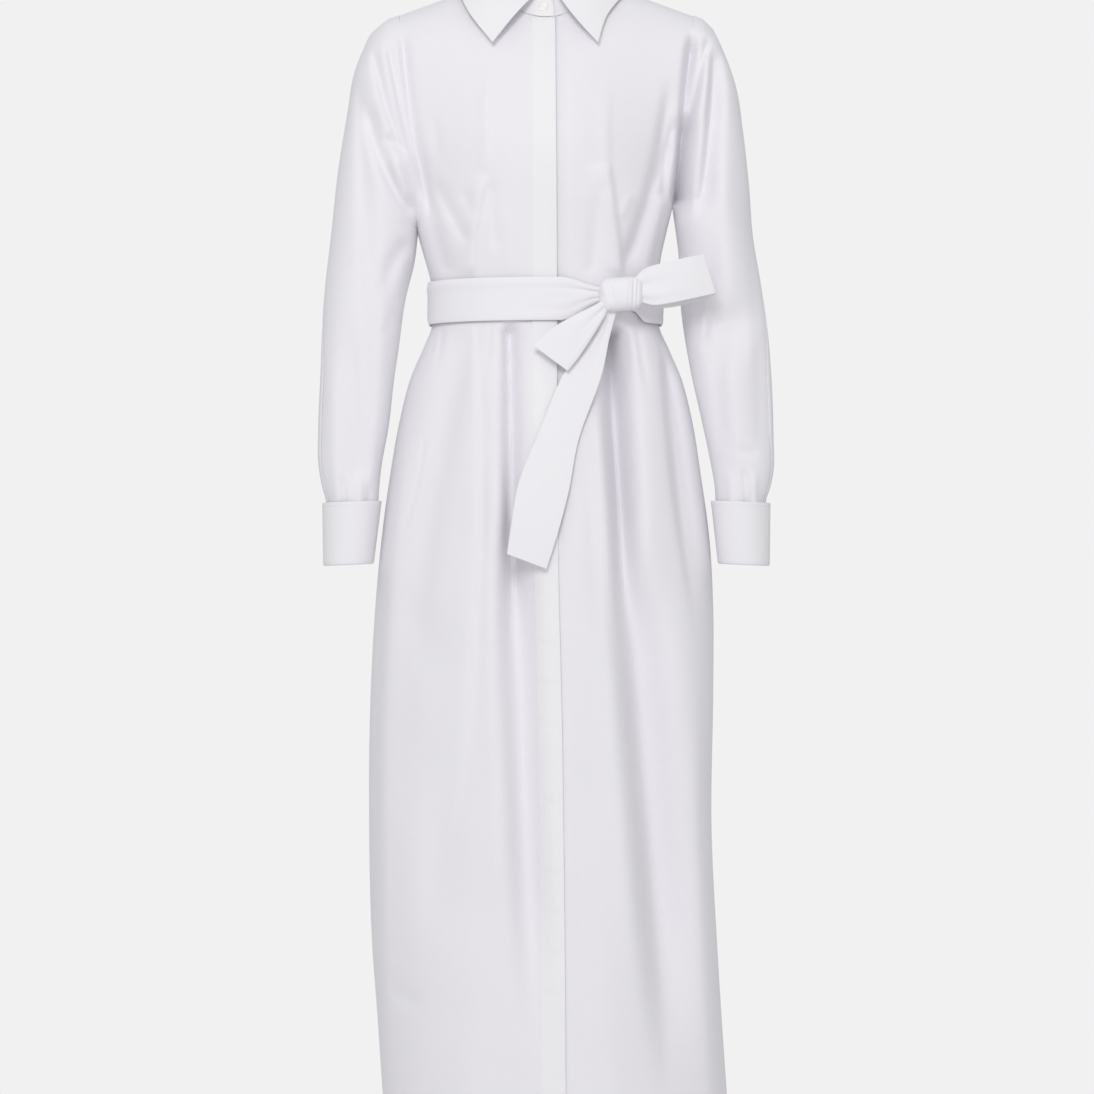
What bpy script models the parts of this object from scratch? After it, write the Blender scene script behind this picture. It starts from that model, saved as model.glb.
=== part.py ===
"""White maxi shirt dress with long dolman sleeves, filled out as if worn, with no wearer inside.

Metres. +Z is up, the front faces -Y and +X is the wearer's left. The origin is in the middle of the
neck opening, level with the points where the neck seam meets the shoulder seams.

The cloth is a thin wall on a height field. Each panel is a grid of places (x, z) seen from the front,
and depth() gives how far the cloth stands before or behind the plane y = 0 there. The front and the
back meet at the shoulder, overarm, underarm and side seams, which lie in that plane.
"""

import math

import bmesh
import bpy
import numpy as np
from mathutils import Vector

# ---- Cloth and seams -------------------------------------------------------------------------
WALL = 0.0015            # cloth with its facings
SEAM_GAP = 0.0004        # between pieces that are sewn together
ON_SEAM = 0.00001        # a place that stands off the seams' plane by less than this is on a seam
INSIDE, SEAM, CREASE, ARMPIT = 0, 1, 2, 3   # marks of a panel's points
CREASE_ROOM = 1.5        # how many walls thick the cloth is along the armhole crease
ARMPIT_ROOM = 2.5        # and at the armpit, where the seams meet
LAYER_GAP = 0.0006       # between a panel and what lies on it
RIGHT, LEFT = -1, 1      # the wearer's right side is at -X
FRONT, BACK = -1, 1      # the front faces -Y

# ---- Neck and shoulders ----------------------------------------------------------------------
NECK_HALF_WIDTH = 0.072
NECK_DROP = {FRONT: 0.047, BACK: 0.008}      # below the neck points, at the middle
NECK_REACH = {FRONT: 0.064, BACK: 0.058}     # before and behind the plane of the seams
SHOULDER_SLOPE = 0.365
SHOULDER_Z = -0.037                          # where the shoulder seam meets the armhole crease
SHOULDER_ROUND = 0.075                       # drop over which the shoulder rounds to the chest
ARMHOLE_DEPTH = 0.058                        # half the armhole, front to back
ARMHOLE_RISE = 0.110
ARMPIT_Z = {RIGHT: -0.286, LEFT: -0.256}
ARMPIT_ROW_Z = -0.272                        # the same row of the grid at the middle
CREASE_FLATNESS = 0.30
FOLD_SIDE_FADE = 0.12                        # share of the half width over which folds die away

# ---- Front edge and placket ------------------------------------------------------------------
PLACKET_WIDTH = 0.029
UNDERLAP_WIDTH = 0.027
UNDERLAP_PUSH = 0.0028                       # the left front runs this far under the right one
UNDERLAP_FADE = 0.030
PLACKET_THICKNESS = 0.0012

# ---- Rows of the grids -----------------------------------------------------------------------
TOP_ROWS = 8                                 # from the neck and shoulders to the armpits
SHOULDER_COLUMNS = 8                         # from the shoulder seam down to the hem
SLEEVE_COLUMNS = 6
SLEEVE_LOW_ROWS = 8
BELT_TOP_Z, BELT_MIDDLE_Z, BELT_LOW_Z = -0.3515, -0.3760, -0.4005
LOW_LEVELS = (-0.318, -0.350, BELT_MIDDLE_Z, -0.402, -0.432, -0.470, -0.520, -0.590,
              -0.680, -0.800, -0.940, -1.100, -1.260, -1.421)
SLEEVE_END_Z = {RIGHT: -0.632, LEFT: -0.629}


def table(names, *rows):
    """A table as one array for each named column, sorted by its first column."""
    values = np.array(sorted(rows)).T
    return dict(zip(names.split(), values))


def read(rows, column, place):
    """A smooth curve through a column of a table, read at places along the first column."""
    at = next(iter(rows.values()))
    value = rows[column]
    slope = np.gradient(value, at)
    place = np.clip(place, at[0], at[-1])
    k = np.clip(np.searchsorted(at, place) - 1, 0, len(at) - 2)
    span = at[k + 1] - at[k]
    t = (place - at[k]) / span
    start = (1 + 2 * t) * (1 - t) ** 2 * value[k] + t * (1 - t) ** 2 * span * slope[k]
    end = t * t * (3 - 2 * t) * value[k + 1] - t * t * (1 - t) * span * slope[k + 1]
    return start + end


# The body: x of its right and left outline, and how far it reaches before and behind the seams.
# Above the armpits the outline is the crease where the sleeve begins.
BODY = table(
    "z right left front back",
    (-0.036, -0.172, 0.174, 0.066, 0.064),
    (-0.105, -0.165, 0.168, 0.092, 0.088),
    (-0.153, -0.159, 0.161, 0.107, 0.096),
    (-0.194, -0.156, 0.154, 0.116, 0.099),
    (-0.256, -0.153, 0.150, 0.111, 0.096),
    (-0.286, -0.151, 0.143, 0.106, 0.093),
    (-0.317, -0.143, 0.136, 0.101, 0.090),
    (-0.346, -0.135, 0.132, 0.097, 0.087),
    (-0.376, -0.131, 0.131, 0.095, 0.086),
    (-0.402, -0.133, 0.133, 0.097, 0.090),
    (-0.430, -0.144, 0.145, 0.103, 0.098),
    (-0.460, -0.157, 0.158, 0.109, 0.108),
    (-0.513, -0.171, 0.172, 0.117, 0.119),
    (-0.575, -0.182, 0.182, 0.123, 0.127),
    (-0.658, -0.193, 0.193, 0.128, 0.131),
    (-0.736, -0.200, 0.197, 0.131, 0.133),
    (-0.828, -0.205, 0.197, 0.134, 0.135),
    (-0.994, -0.207, 0.195, 0.138, 0.139),
    (-1.138, -0.203, 0.202, 0.141, 0.142),
    (-1.204, -0.198, 0.206, 0.143, 0.144),
    (-1.306, -0.191, 0.213, 0.146, 0.147),
    (-1.421, -0.183, 0.221, 0.150, 0.151),
)
# The right front's edge, which is the visible edge of the placket.
FRONT_EDGE = table(
    "z x",
    (-0.045, 0.0115),
    (-0.350, 0.0135),
    (-0.690, 0.0150),
    (-0.850, 0.0187),
    (-1.080, 0.0218),
    (-1.421, 0.0240),
)
# The sleeves: x of the overarm outline and of the inner outline, which begins at the armpit.
SLEEVE_OUTER = {
    RIGHT: table(
        "z x",
        (-0.036, -0.172), (-0.040, -0.184), (-0.053, -0.201), (-0.078, -0.215), (-0.105, -0.225),
        (-0.146, -0.232), (-0.221, -0.244), (-0.286, -0.251), (-0.371, -0.260), (-0.465, -0.264),
        (-0.519, -0.266), (-0.571, -0.265), (-0.592, -0.261), (-0.606, -0.257), (-0.632, -0.256),
    ),
    LEFT: table(
        "z x",
        (-0.036, 0.174), (-0.040, 0.184), (-0.051, 0.196), (-0.067, 0.204), (-0.092, 0.215),
        (-0.125, 0.225), (-0.172, 0.232), (-0.234, 0.239), (-0.298, 0.244), (-0.347, 0.252),
        (-0.394, 0.259), (-0.489, 0.266), (-0.536, 0.267), (-0.571, 0.267), (-0.595, 0.262),
        (-0.603, 0.259), (-0.629, 0.258),
    ),
}
SLEEVE_INNER = {
    RIGHT: table(
        "z x",
        (-0.286, -0.151), (-0.324, -0.155), (-0.371, -0.166), (-0.430, -0.174), (-0.465, -0.179),
        (-0.519, -0.185), (-0.571, -0.194), (-0.606, -0.197), (-0.632, -0.198),
    ),
    LEFT: table(
        "z x",
        (-0.256, 0.150), (-0.319, 0.158), (-0.375, 0.160), (-0.456, 0.172), (-0.506, 0.183),
        (-0.548, 0.192), (-0.595, 0.200), (-0.629, 0.201),
    ),
}
# How far the sleeve reaches before and behind its own middle, and where that middle lies.
SLEEVE_DEPTH = table(
    "z front back middle",
    (-0.036, 0.055, 0.055, 0.000),
    (-0.105, 0.061, 0.061, 0.000),
    (-0.194, 0.065, 0.067, 0.000),
    (-0.286, 0.060, 0.062, -0.001),
    (-0.371, 0.053, 0.053, -0.007),
    (-0.465, 0.045, 0.045, -0.015),
    (-0.571, 0.037, 0.037, -0.021),
    (-0.632, 0.032, 0.032, -0.023),
)
SLEEVE_CORNER_X = {RIGHT: -0.201, LEFT: 0.202}   # where the grid's top edge turns down the arm
CREASE_MARGIN = 1.02       # a sleeve is at least this much deeper than its crease
SOFTEN_ROUNDS, SOFTEN_REACH = 6, 4   # how often, and over how many columns, the crease is averaged

# Pleats and the largest folds: three places that each runs through from its top end to its low end,
# its height (out of the cloth when positive), and how wide it fades to the right and left of the line.
# Seen from the front the fold's right is -X, on the front and the back alike.
FRONT_FOLDS = (
    # x1      z1      x2      z2      x3      z3      height   right  left
    (-0.083, -0.400, -0.080, -0.640, -0.118, -1.050, 0.007, 0.016, 0.040),
    (-0.092, -0.410, -0.128, -0.590, -0.142, -0.900, -0.006, 0.030, 0.016),
    (-0.046, -0.400, -0.038, -0.720, -0.020, -1.180, -0.005, 0.022, 0.018),
    (0.065, -0.405, 0.078, -0.690, 0.130, -1.230, -0.010, 0.018, 0.022),
    (0.110, -0.430, 0.118, -0.720, 0.160, -1.200, 0.004, 0.022, 0.026),
    (0.130, -0.415, 0.152, -0.640, 0.180, -0.900, -0.006, 0.020, 0.018),
    (-0.066, -0.200, -0.085, -0.276, -0.088, -0.345, 0.004, 0.018, 0.014),
    (0.071, -0.200, 0.080, -0.273, 0.089, -0.345, 0.005, 0.018, 0.014),
)
BACK_FOLDS = (
    # x1      z1      x2      z2      x3      z3      height   right  left
    (-0.080, -0.400, -0.090, -0.700, -0.112, -1.200, -0.008, 0.022, 0.020),
    (-0.040, -0.400, -0.042, -0.650, -0.048, -1.050, 0.005, 0.022, 0.022),
    (0.042, -0.400, 0.044, -0.700, 0.052, -1.150, 0.006, 0.022, 0.022),
    (0.082, -0.400, 0.092, -0.650, 0.122, -1.250, -0.008, 0.020, 0.022),
    (-0.074, -0.180, -0.078, -0.280, -0.080, -0.345, 0.004, 0.016, 0.016),
    (0.074, -0.180, 0.078, -0.280, 0.080, -0.345, 0.004, 0.016, 0.016),
)
FOLDS = {FRONT: FRONT_FOLDS, BACK: BACK_FOLDS}
FOLD_FADE = 0.22           # share of a fold's length over which it rises and dies away

# ---- Cuffs: the outline of the turned-up outer wall --------------------------------------------
CUFF_TOP_Z, CUFF_LOW_Z = -0.609, -0.683
CUFF_WALL, CUFF_SPACE, CUFF_INNER_TOP_Z = 0.0016, 0.0014, -0.6370
CUFF = {
    # side: centre x and half width at the top, the same at the bottom
    RIGHT: (-0.2268, 0.0348, -0.2312, 0.0296),
    LEFT: (0.2288, 0.0350, 0.2329, 0.0304),
}
CUFF_MIDDLE_Y = -0.023
CUFF_HALF_DEPTH = (0.0385, 0.0345)           # at the top and at the bottom
CUFF_SIDES = 18

# ---- Collar -------------------------------------------------------------------------------------
STAND_HEIGHT, STAND_LEAN, STAND_THICKNESS = 0.030, 0.93, 0.0018
STAND_TOP_END, STAND_UNDER_END = -8.0, 370.0  # degrees round the neck, from the middle front
STAND_UNDER_START = 325.0                    # where the left end starts to pass under the right one
STAND_UNDER_PUSH, STAND_UNDER_FADE = 0.0032, 20.0   # metres, and degrees before the under end
STAND_RAISE = 0.0024                         # the band clears the straight runs of the neck seam
STAND_STATIONS = 28
LEAF_THICKNESS = 0.0016
LEAF_FOLD_OUT, LEAF_FOLD_UP = 0.0030, 0.0012
LEAF_ENDS = (2.0, 352.5)                     # degrees where the leaf's front edges start
LEAF_BULGE = 0.004
LEAF_STATIONS, LEAF_ROWS = 29, 3
# The leaf's outer edge, from the middle back (0) to the tips (1): x on the wearer's right and left.
LEAF_EDGE = table(
    "turn right left y z",
    (0.00, 0.000, 0.000, 0.071, -0.014),
    (0.22, -0.050, 0.050, 0.061, -0.012),
    (0.42, -0.086, 0.085, 0.036, -0.003),
    (0.58, -0.103, 0.100, 0.000, -0.001),
    (0.72, -0.099, 0.090, -0.042, -0.018),
    (0.86, -0.086, 0.0710, -0.070, -0.046),
    (1.00, -0.061, 0.0605, -0.091, -0.080),
)
LEAF_SWAY = 0.007                             # the left point's front edge bows to the middle

# ---- Button ---------------------------------------------------------------------------------------
BUTTON_RADIUS, BUTTON_THICKNESS = 0.0056, 0.0022
BUTTON_X, BUTTON_Z, BUTTON_LEAN = -0.002, -0.034, 9.0

# ---- Belt ------------------------------------------------------------------------------------------
BELT_THICKNESS, BELT_LIFT = 0.0020, 0.0042
BELT_WAIST_ENDS = (0.0595, 0.1150)           # x of the band's two ends, beside the knot
BELT_TAPER, BELT_END_HALF = 0.045, 0.0105    # the band gathers into the knot over this length
BELT_STATIONS = 38
KNOT_CENTRE, KNOT_SIZE = (0.0870, -0.0975, -0.3710), (0.0490, 0.0340, 0.0380)
KNOT_ROUND = (0.42, 0.62)                     # how square its front outline and its sides are
KNOT_RINGS, KNOT_SIDES = 7, 20
KNOT_END_ANGLE = 1.40                         # radians: the rings stop short of a point
# Strips: centre of each station, half width, and the width's direction in x and z.
STRIP_COLUMNS = "at x1 z1 x2 z2 y"            # one edge, the other edge, and how far forward
LOOP_FRONT = (
    (0.1135, -0.3490, 0.1135, -0.3800, -0.1020),
    (0.1200, -0.3405, 0.1250, -0.3838, -0.1060),
    (0.1420, -0.3335, 0.1440, -0.3815, -0.1090),
    (0.1640, -0.3288, 0.1720, -0.3755, -0.1060),
    (0.1812, -0.3250, 0.1950, -0.3700, -0.0990),
)
LOOP_BACK = (
    (0.1808, -0.3256, 0.1948, -0.3712, -0.0935),
    (0.1640, -0.3300, 0.1740, -0.3785, -0.0890),
    (0.1420, -0.3360, 0.1470, -0.3850, -0.0880),
    (0.1180, -0.3440, 0.1240, -0.3870, -0.0900),
)
SHORT_TAIL = (
    (0.0560, -0.3850, 0.0660, -0.3990, -0.1110),
    (0.0300, -0.3985, 0.0520, -0.4225, -0.1170),
    (0.0075, -0.4120, 0.0380, -0.4440, -0.1215),
    (-0.0150, -0.4310, 0.0253, -0.4605, -0.1245),
)
LONG_TAIL = (
    (0.0640, -0.3940, 0.0800, -0.3960, -0.0985),
    (0.0540, -0.4180, 0.0725, -0.4230, -0.1030),
    (0.0215, -0.4630, 0.0630, -0.4690, -0.1160),
    (-0.0070, -0.5300, 0.0435, -0.5370, -0.1275),
    (-0.0300, -0.5880, 0.0268, -0.5970, -0.1350),
    (-0.0385, -0.6350, 0.0140, -0.6460, -0.1395),
    (-0.0436, -0.6700, 0.0010, -0.6870, -0.1420),
)
STRIP_CAMBER = 0.0015

# ---- Colours ----------------------------------------------------------------------------------------
CLOTH_WHITE = (0.84, 0.83, 0.86)
BUTTON_WHITE = (0.80, 0.79, 0.75)


def smooth_step(t):
    """0 below 0, 1 above 1, and a soft S between."""
    t = np.clip(t, 0.0, 1.0)
    return t * t * (3.0 - 2.0 * t)


def quarter_round(t):
    """The height of a quarter circle: 0 at 0 with an upright start, 1 from 1 on."""
    t = np.clip(t, 0.0, 1.0)
    return np.sqrt(t * (2.0 - t))


def top_shares():
    """How far down each upper row lies. The rows are closer near the top seams and the armpit."""
    return (1.0 - np.cos(np.linspace(0.0, math.pi, TOP_ROWS + 1))) / 2.0


def outline(z):
    """The body's middle and half width at each height."""
    right = read(BODY, "right", z)
    left = read(BODY, "left", z)
    return (right + left) / 2.0, (left - right) / 2.0


def top_edge(x, face):
    """Height and depth of a panel's top edge: the neck seam, and the shoulder seam outside it."""
    beside = np.abs(x)
    inside = np.clip(1.0 - (beside / NECK_HALF_WIDTH) ** 2, 0.0, 1.0)
    neck_z = -NECK_DROP[face] * inside
    shoulder_z = -SHOULDER_SLOPE * (beside - NECK_HALF_WIDTH)
    z = np.where(beside < NECK_HALF_WIDTH, neck_z, shoulder_z)
    return z, NECK_REACH[face] * np.sqrt(inside)


def fold_relief(x, z, face):
    """Height of the folds over the plain cloth: each is a ridge or a trough along its own line."""
    height = np.zeros_like(x)
    for x1, z1, x2, z2, x3, z3, rise, right, left in FOLDS[face]:
        along = (z1 - z) / (z1 - z3)
        middle = (z1 - z2) / (z1 - z3)
        t = np.clip(along, 0.0, 1.0)
        bend = (x2 - x1 - (x3 - x1) * middle) / (middle * (middle - 1.0))
        line = x1 + (x3 - x1) * t + bend * t * (t - 1.0)
        away = x - line
        width = np.where(away < 0.0, right, left)
        ends = smooth_step(along / FOLD_FADE) * smooth_step((1.0 - along) / FOLD_FADE)
        height += rise * ends * np.exp(-((away / width) ** 2))
    return height


def depth(x, z, face):
    """How far the body's cloth stands off the plane of the seams, at each place seen from the front.

    A level section is the part of an ellipse between the middle and the outline. Above the armpits
    it ends at the armhole's own depth, and below them at the side seam. Towards the neck and
    shoulder seams a quarter circle brings it in to the seam.
    """
    middle, half = outline(z)
    across = np.clip(np.abs(x - middle) / half, 0.0, 1.0)
    armpit = np.where(x < middle, ARMPIT_Z[RIGHT], ARMPIT_Z[LEFT])
    above = np.clip((z - armpit) / ARMHOLE_RISE, 0.0, 1.0)
    armhole = ARMHOLE_DEPTH * quarter_round(above)
    fullness = 1.0 - CREASE_FLATNESS * smooth_step(above)
    flat = np.sqrt(1.0 - fullness ** 2)
    arc = (np.sqrt(1.0 - (fullness * across) ** 2) - flat) / (1.0 - flat)
    reach = read(BODY, "front" if face == FRONT else "back", z)
    section = np.sqrt((reach ** 2 - armhole ** 2) * arc ** 2 + armhole ** 2)
    seam_z, seam_depth = top_edge(x, face)
    round_in = quarter_round((seam_z - z) / SHOULDER_ROUND)
    side_fade = smooth_step((1.0 - across) / FOLD_SIDE_FADE)
    return seam_depth + (section - seam_depth) * round_in + fold_relief(x, z, face) * side_fade


def edge_x(side, face, edge_offsets, z):
    """x of the first columns at each height: along a front's edge, or the middle of the back."""
    if face == BACK:
        return outline(z)[0][:, None]
    return read(FRONT_EDGE, "x", z)[:, None] + np.array(edge_offsets)[None, :]


def body_places(side, face, edge_offsets, neck_columns):
    """Places (x, z) of a body grid: rows from the top seams to the hem, columns out to the side.

    edge_offsets places a front's first columns from its edge. After them neck_columns end at the
    neck point, and the rest run from the shoulder seam.
    """
    first = max(len(edge_offsets) - 1, 0)
    corner = first + neck_columns
    column = np.arange(corner + SHOULDER_COLUMNS + 1)
    spread = np.clip((column - first) / (column[-1] - first), 0.0, 1.0)
    # the top edge: evenly by angle round the neck seam, then along the shoulder seam
    top_x = side * edge_x(side, face, edge_offsets, np.array([-NECK_DROP[face]]))[0]
    start = math.asin(top_x[-1] / NECK_HALF_WIDTH)
    turn = start + (math.pi / 2 - start) * np.clip((column[first + 1:] - first) / neck_columns, 0, 1)
    along = np.clip((column[first + 1:] - corner) / SHOULDER_COLUMNS, 0.0, 1.0)
    shoulder = abs(outline(SHOULDER_Z)[0] + side * outline(SHOULDER_Z)[1]) - NECK_HALF_WIDTH
    beyond = NECK_HALF_WIDTH * np.sin(turn) + shoulder * np.sin(along * math.pi / 2)
    top_x = side * np.concatenate((top_x, beyond))
    top_z, _ = top_edge(top_x, face)
    share = top_shares()[:, None]
    armpit_row = ARMPIT_ROW_Z + (ARMPIT_Z[side] - ARMPIT_ROW_Z) * spread ** 2
    upper = top_z + (armpit_row - top_z) * share
    z = np.concatenate((upper, np.repeat(np.array(LOW_LEVELS)[:, None], len(column), axis=1)))
    middle, half = outline(z)
    edges = edge_x(side, face, edge_offsets, z[:, 0])
    start = np.arcsin(side * (edges[:, -1:] - middle) / half)
    x = middle + side * half * np.sin(start + (math.pi / 2 - start) * spread)
    x[:, : first + 1] = edges
    settle = np.zeros((len(z), 1))
    settle[: TOP_ROWS + 1] = (1.0 - share) ** 2
    return x + (top_x - x[0]) * settle, z


def body_grid(side, face, edge_offsets=(), neck_columns=4):
    """Points of a body panel: rows by columns by (x, y, z, mark)."""
    x, z = body_places(side, face, edge_offsets, neck_columns)
    away = depth(x, z, face)
    mark = np.where(away < ON_SEAM, SEAM, INSIDE)
    mark[1:TOP_ROWS, -1] = CREASE
    mark[TOP_ROWS, -1] = ARMPIT
    if face == FRONT and side == LEFT:
        edge = read(FRONT_EDGE, "x", z)
        away -= UNDERLAP_PUSH * smooth_step((edge + UNDERLAP_FADE - x) / UNDERLAP_FADE)
    return np.stack((x, face * (away + SEAM_GAP / 2), z, mark), axis=-1)


def sleeve_grid(side, face, crease):
    """Points of half a sleeve. Its first column is the body's crease, then the inner outline.

    Each row is part of an ellipse from the inner outline to the overarm seam. Above the armpit it
    starts where the ellipse is as deep as the crease.
    """
    outer = SLEEVE_OUTER[side]
    share = top_shares()
    corner_x = SLEEVE_CORNER_X[side]
    corner_z = np.interp(side * corner_x, side * outer["x"][::-1], outer["z"][::-1])
    low = np.linspace(ARMPIT_Z[side], SLEEVE_END_Z[side], SLEEVE_LOW_ROWS + 1)[1:]
    inner_z = np.concatenate((crease[:, 2], low))
    outer_z = np.concatenate((corner_z + (ARMPIT_Z[side] - corner_z) * share, low))
    inner_x = np.concatenate((crease[:, 0], read(SLEEVE_INNER[side], "x", low)))
    outer_x = read(outer, "x", outer_z)
    outer_x[0] = corner_x
    at_crease = np.concatenate((np.abs(crease[:, 1]) - SEAM_GAP / 2, np.zeros(len(low))))
    reach = read(SLEEVE_DEPTH, "front" if face == FRONT else "back", (inner_z + outer_z) / 2.0)
    reach = reach * quarter_round((inner_z[0] - inner_z) / SHOULDER_ROUND)
    reach = np.maximum(reach, at_crease * CREASE_MARGIN)
    ratio = at_crease / np.maximum(reach, ON_SEAM)
    ratio[0] = ratio[1]
    start = np.arcsin(np.clip(ratio, 0.0, 1.0))[:, None]
    across = (1.0 - np.cos(np.linspace(0.0, math.pi, SLEEVE_COLUMNS + 1))) / 2.0
    angle = np.arccos(np.clip(np.cos(start) - across * (1.0 + np.cos(start)), -1.0, 1.0))
    x = inner_x[:, None] + (outer_x - inner_x)[:, None] * across
    z = inner_z[:, None] + (outer_z - inner_z)[:, None] * across
    # the top row follows the shoulder, and that bow dies away down the rows
    bow = np.zeros((len(inner_z), 1))
    bow[: TOP_ROWS + 1, 0] = (1.0 - share) ** 3
    seam_z = np.interp(side * x[0], side * outer["x"][::-1], outer["z"][::-1])
    z = z + (seam_z - z[0]) * bow
    away = reach[:, None] * np.sin(angle)
    y = read(SLEEVE_DEPTH, "middle", z) + face * (away + SEAM_GAP / 2)
    grid = np.stack((x, y, z, np.where(away < ON_SEAM, SEAM, INSIDE)), axis=-1)
    grid[: TOP_ROWS + 1, 0] = crease
    return grid


def soften_crease(body, sleeve):
    """Averages the depth across the crease between body and sleeve, above the armpit."""
    rows = TOP_ROWS
    joined = np.concatenate((body[:rows, :, 1], sleeve[:rows, 1:, 1]), axis=1)
    crease = body.shape[1] - 1
    columns = np.arange(joined.shape[1])
    near = 1.0 - np.clip(np.abs(columns - crease) / SOFTEN_REACH, 0.0, 1.0)
    down = smooth_step((rows - np.arange(rows)) / 3.0) * smooth_step(np.arange(rows) / 2.0)
    weight = (down[:, None] * near[None, :])[:, 1:-1]
    for _ in range(SOFTEN_ROUNDS):
        mean = (joined[:, :-2] + 2.0 * joined[:, 1:-1] + joined[:, 2:]) / 4.0
        joined[:, 1:-1] += (mean - joined[:, 1:-1]) * weight
    body[:rows, :, 1] = joined[:, : crease + 1]
    sleeve[:rows, 0, 1] = joined[:, crease]
    sleeve[:rows, 1:, 1] = joined[:, crease + 1:]


def add_grid(mesh, seam_mark, grid, flip):
    """Adds a grid to a mesh, each cell cut along its shorter diagonal. flip turns the faces over."""
    rows, columns = grid.shape[:2]
    points = []
    for point in grid.reshape(rows * columns, -1):
        vert = mesh.verts.new(point[:3])
        vert[seam_mark] = int(point[3]) if len(point) > 3 else INSIDE
        points.append(vert)
    for r in range(rows - 1):
        for c in range(columns - 1):
            corner = r * columns + c
            quad = [points[k] for k in (corner, corner + columns, corner + columns + 1, corner + 1)]
            if (quad[0].co - quad[2].co).length < (quad[1].co - quad[3].co).length:
                halves = ((0, 1, 2), (0, 2, 3))
            else:
                halves = ((0, 1, 3), (1, 2, 3))
            for loop in halves:
                order = reversed(loop) if flip else loop
                mesh.faces.new([quad[k] for k in order])


def material(name, colour, roughness):
    """A plain finish in the piece's own colour."""
    made = bpy.data.materials.new(name)
    made.use_nodes = True
    shader = made.node_tree.nodes["Principled BSDF"]
    shader.inputs["Base Color"].default_value = (*colour, 1.0)
    shader.inputs["Roughness"].default_value = roughness
    shader.inputs["Metallic"].default_value = 0.0
    return made


def add_object(name, mesh, colour=CLOTH_WHITE, roughness=0.85):
    """Makes an object of a mesh, with a material of its own."""
    data = bpy.data.meshes.new(name)
    mesh.to_mesh(data)
    mesh.free()
    data.shade_smooth()
    made = bpy.data.objects.new(name, data)
    bpy.context.collection.objects.link(made)
    data.materials.append(material(name + "_finish", colour, roughness))
    return made


def cloth_wall(name, grids, thickness=WALL):
    """A closed wall of cloth: grids joined where they share points, with an inner face behind them.

    grids holds (points, flip) pairs. At a seam the wall's end stays in the plane of the seam, so
    that the piece on the other side has room. Along the armhole crease and at the armpit, where two
    walls run close together, the inner face stays straight behind the outer one.
    """
    mesh = bmesh.new()
    seam_mark = mesh.verts.layers.int.new("seam")
    for grid, flip in grids:
        add_grid(mesh, seam_mark, grid, flip)
    bmesh.ops.remove_doubles(mesh, verts=mesh.verts, dist=0.00001)
    mesh.normal_update()
    outer_faces = list(mesh.faces)
    edges = [edge for edge in mesh.edges if edge.is_boundary]
    inner = {}
    for vert in list(mesh.verts):
        inwards = -vert.normal
        if vert[seam_mark] in (SEAM, ARMPIT):
            inwards.y = 0.0
            inwards.normalize()
        if vert[seam_mark] == CREASE:
            room = min(CREASE_ROOM * thickness, abs(vert.co.y) - SEAM_GAP / 2)
            inwards = Vector((0.0, -math.copysign(room / thickness, vert.co.y), 0.0))
        if vert[seam_mark] == ARMPIT:
            inwards *= ARMPIT_ROOM
        inner[vert] = mesh.verts.new(vert.co + inwards * thickness)
    for edge in edges:
        loop = edge.link_loops[0]
        first, second = loop.vert, loop.link_loop_next.vert
        mesh.faces.new((second, first, inner[first], inner[second]))
    for face in outer_faces:
        mesh.faces.new([inner[vert] for vert in reversed(face.verts)])
    return add_object(name, mesh)


def panel_grids(side, face, edge_offsets=(), neck_columns=4):
    """The body grid of one side and its half sleeve, with the crease between them softened."""
    body = body_grid(side, face, edge_offsets, neck_columns)
    sleeve = sleeve_grid(side, face, body[: TOP_ROWS + 1, -1])
    soften_crease(body, sleeve)
    return [(body, side * face > 0), (sleeve, side * face > 0)]


def make_panels():
    """The two fronts, the back and the placket, each front and back with its halves of the sleeves."""
    right = panel_grids(RIGHT, FRONT, (0.0, -PLACKET_WIDTH / 2, -PLACKET_WIDTH), 3)
    left = panel_grids(LEFT, FRONT, (-UNDERLAP_WIDTH, -UNDERLAP_WIDTH / 2, 0.0), 3)
    cloth_wall("front_right", right)
    cloth_wall("front_left", left)
    cloth_wall("back", panel_grids(RIGHT, BACK) + panel_grids(LEFT, BACK))
    body, flip = right[0]
    placket = body[:, :3].copy()
    placket[:, :, 1] -= LAYER_GAP + PLACKET_THICKNESS
    cloth_wall("placket", [(placket, flip)], PLACKET_THICKNESS)


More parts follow.
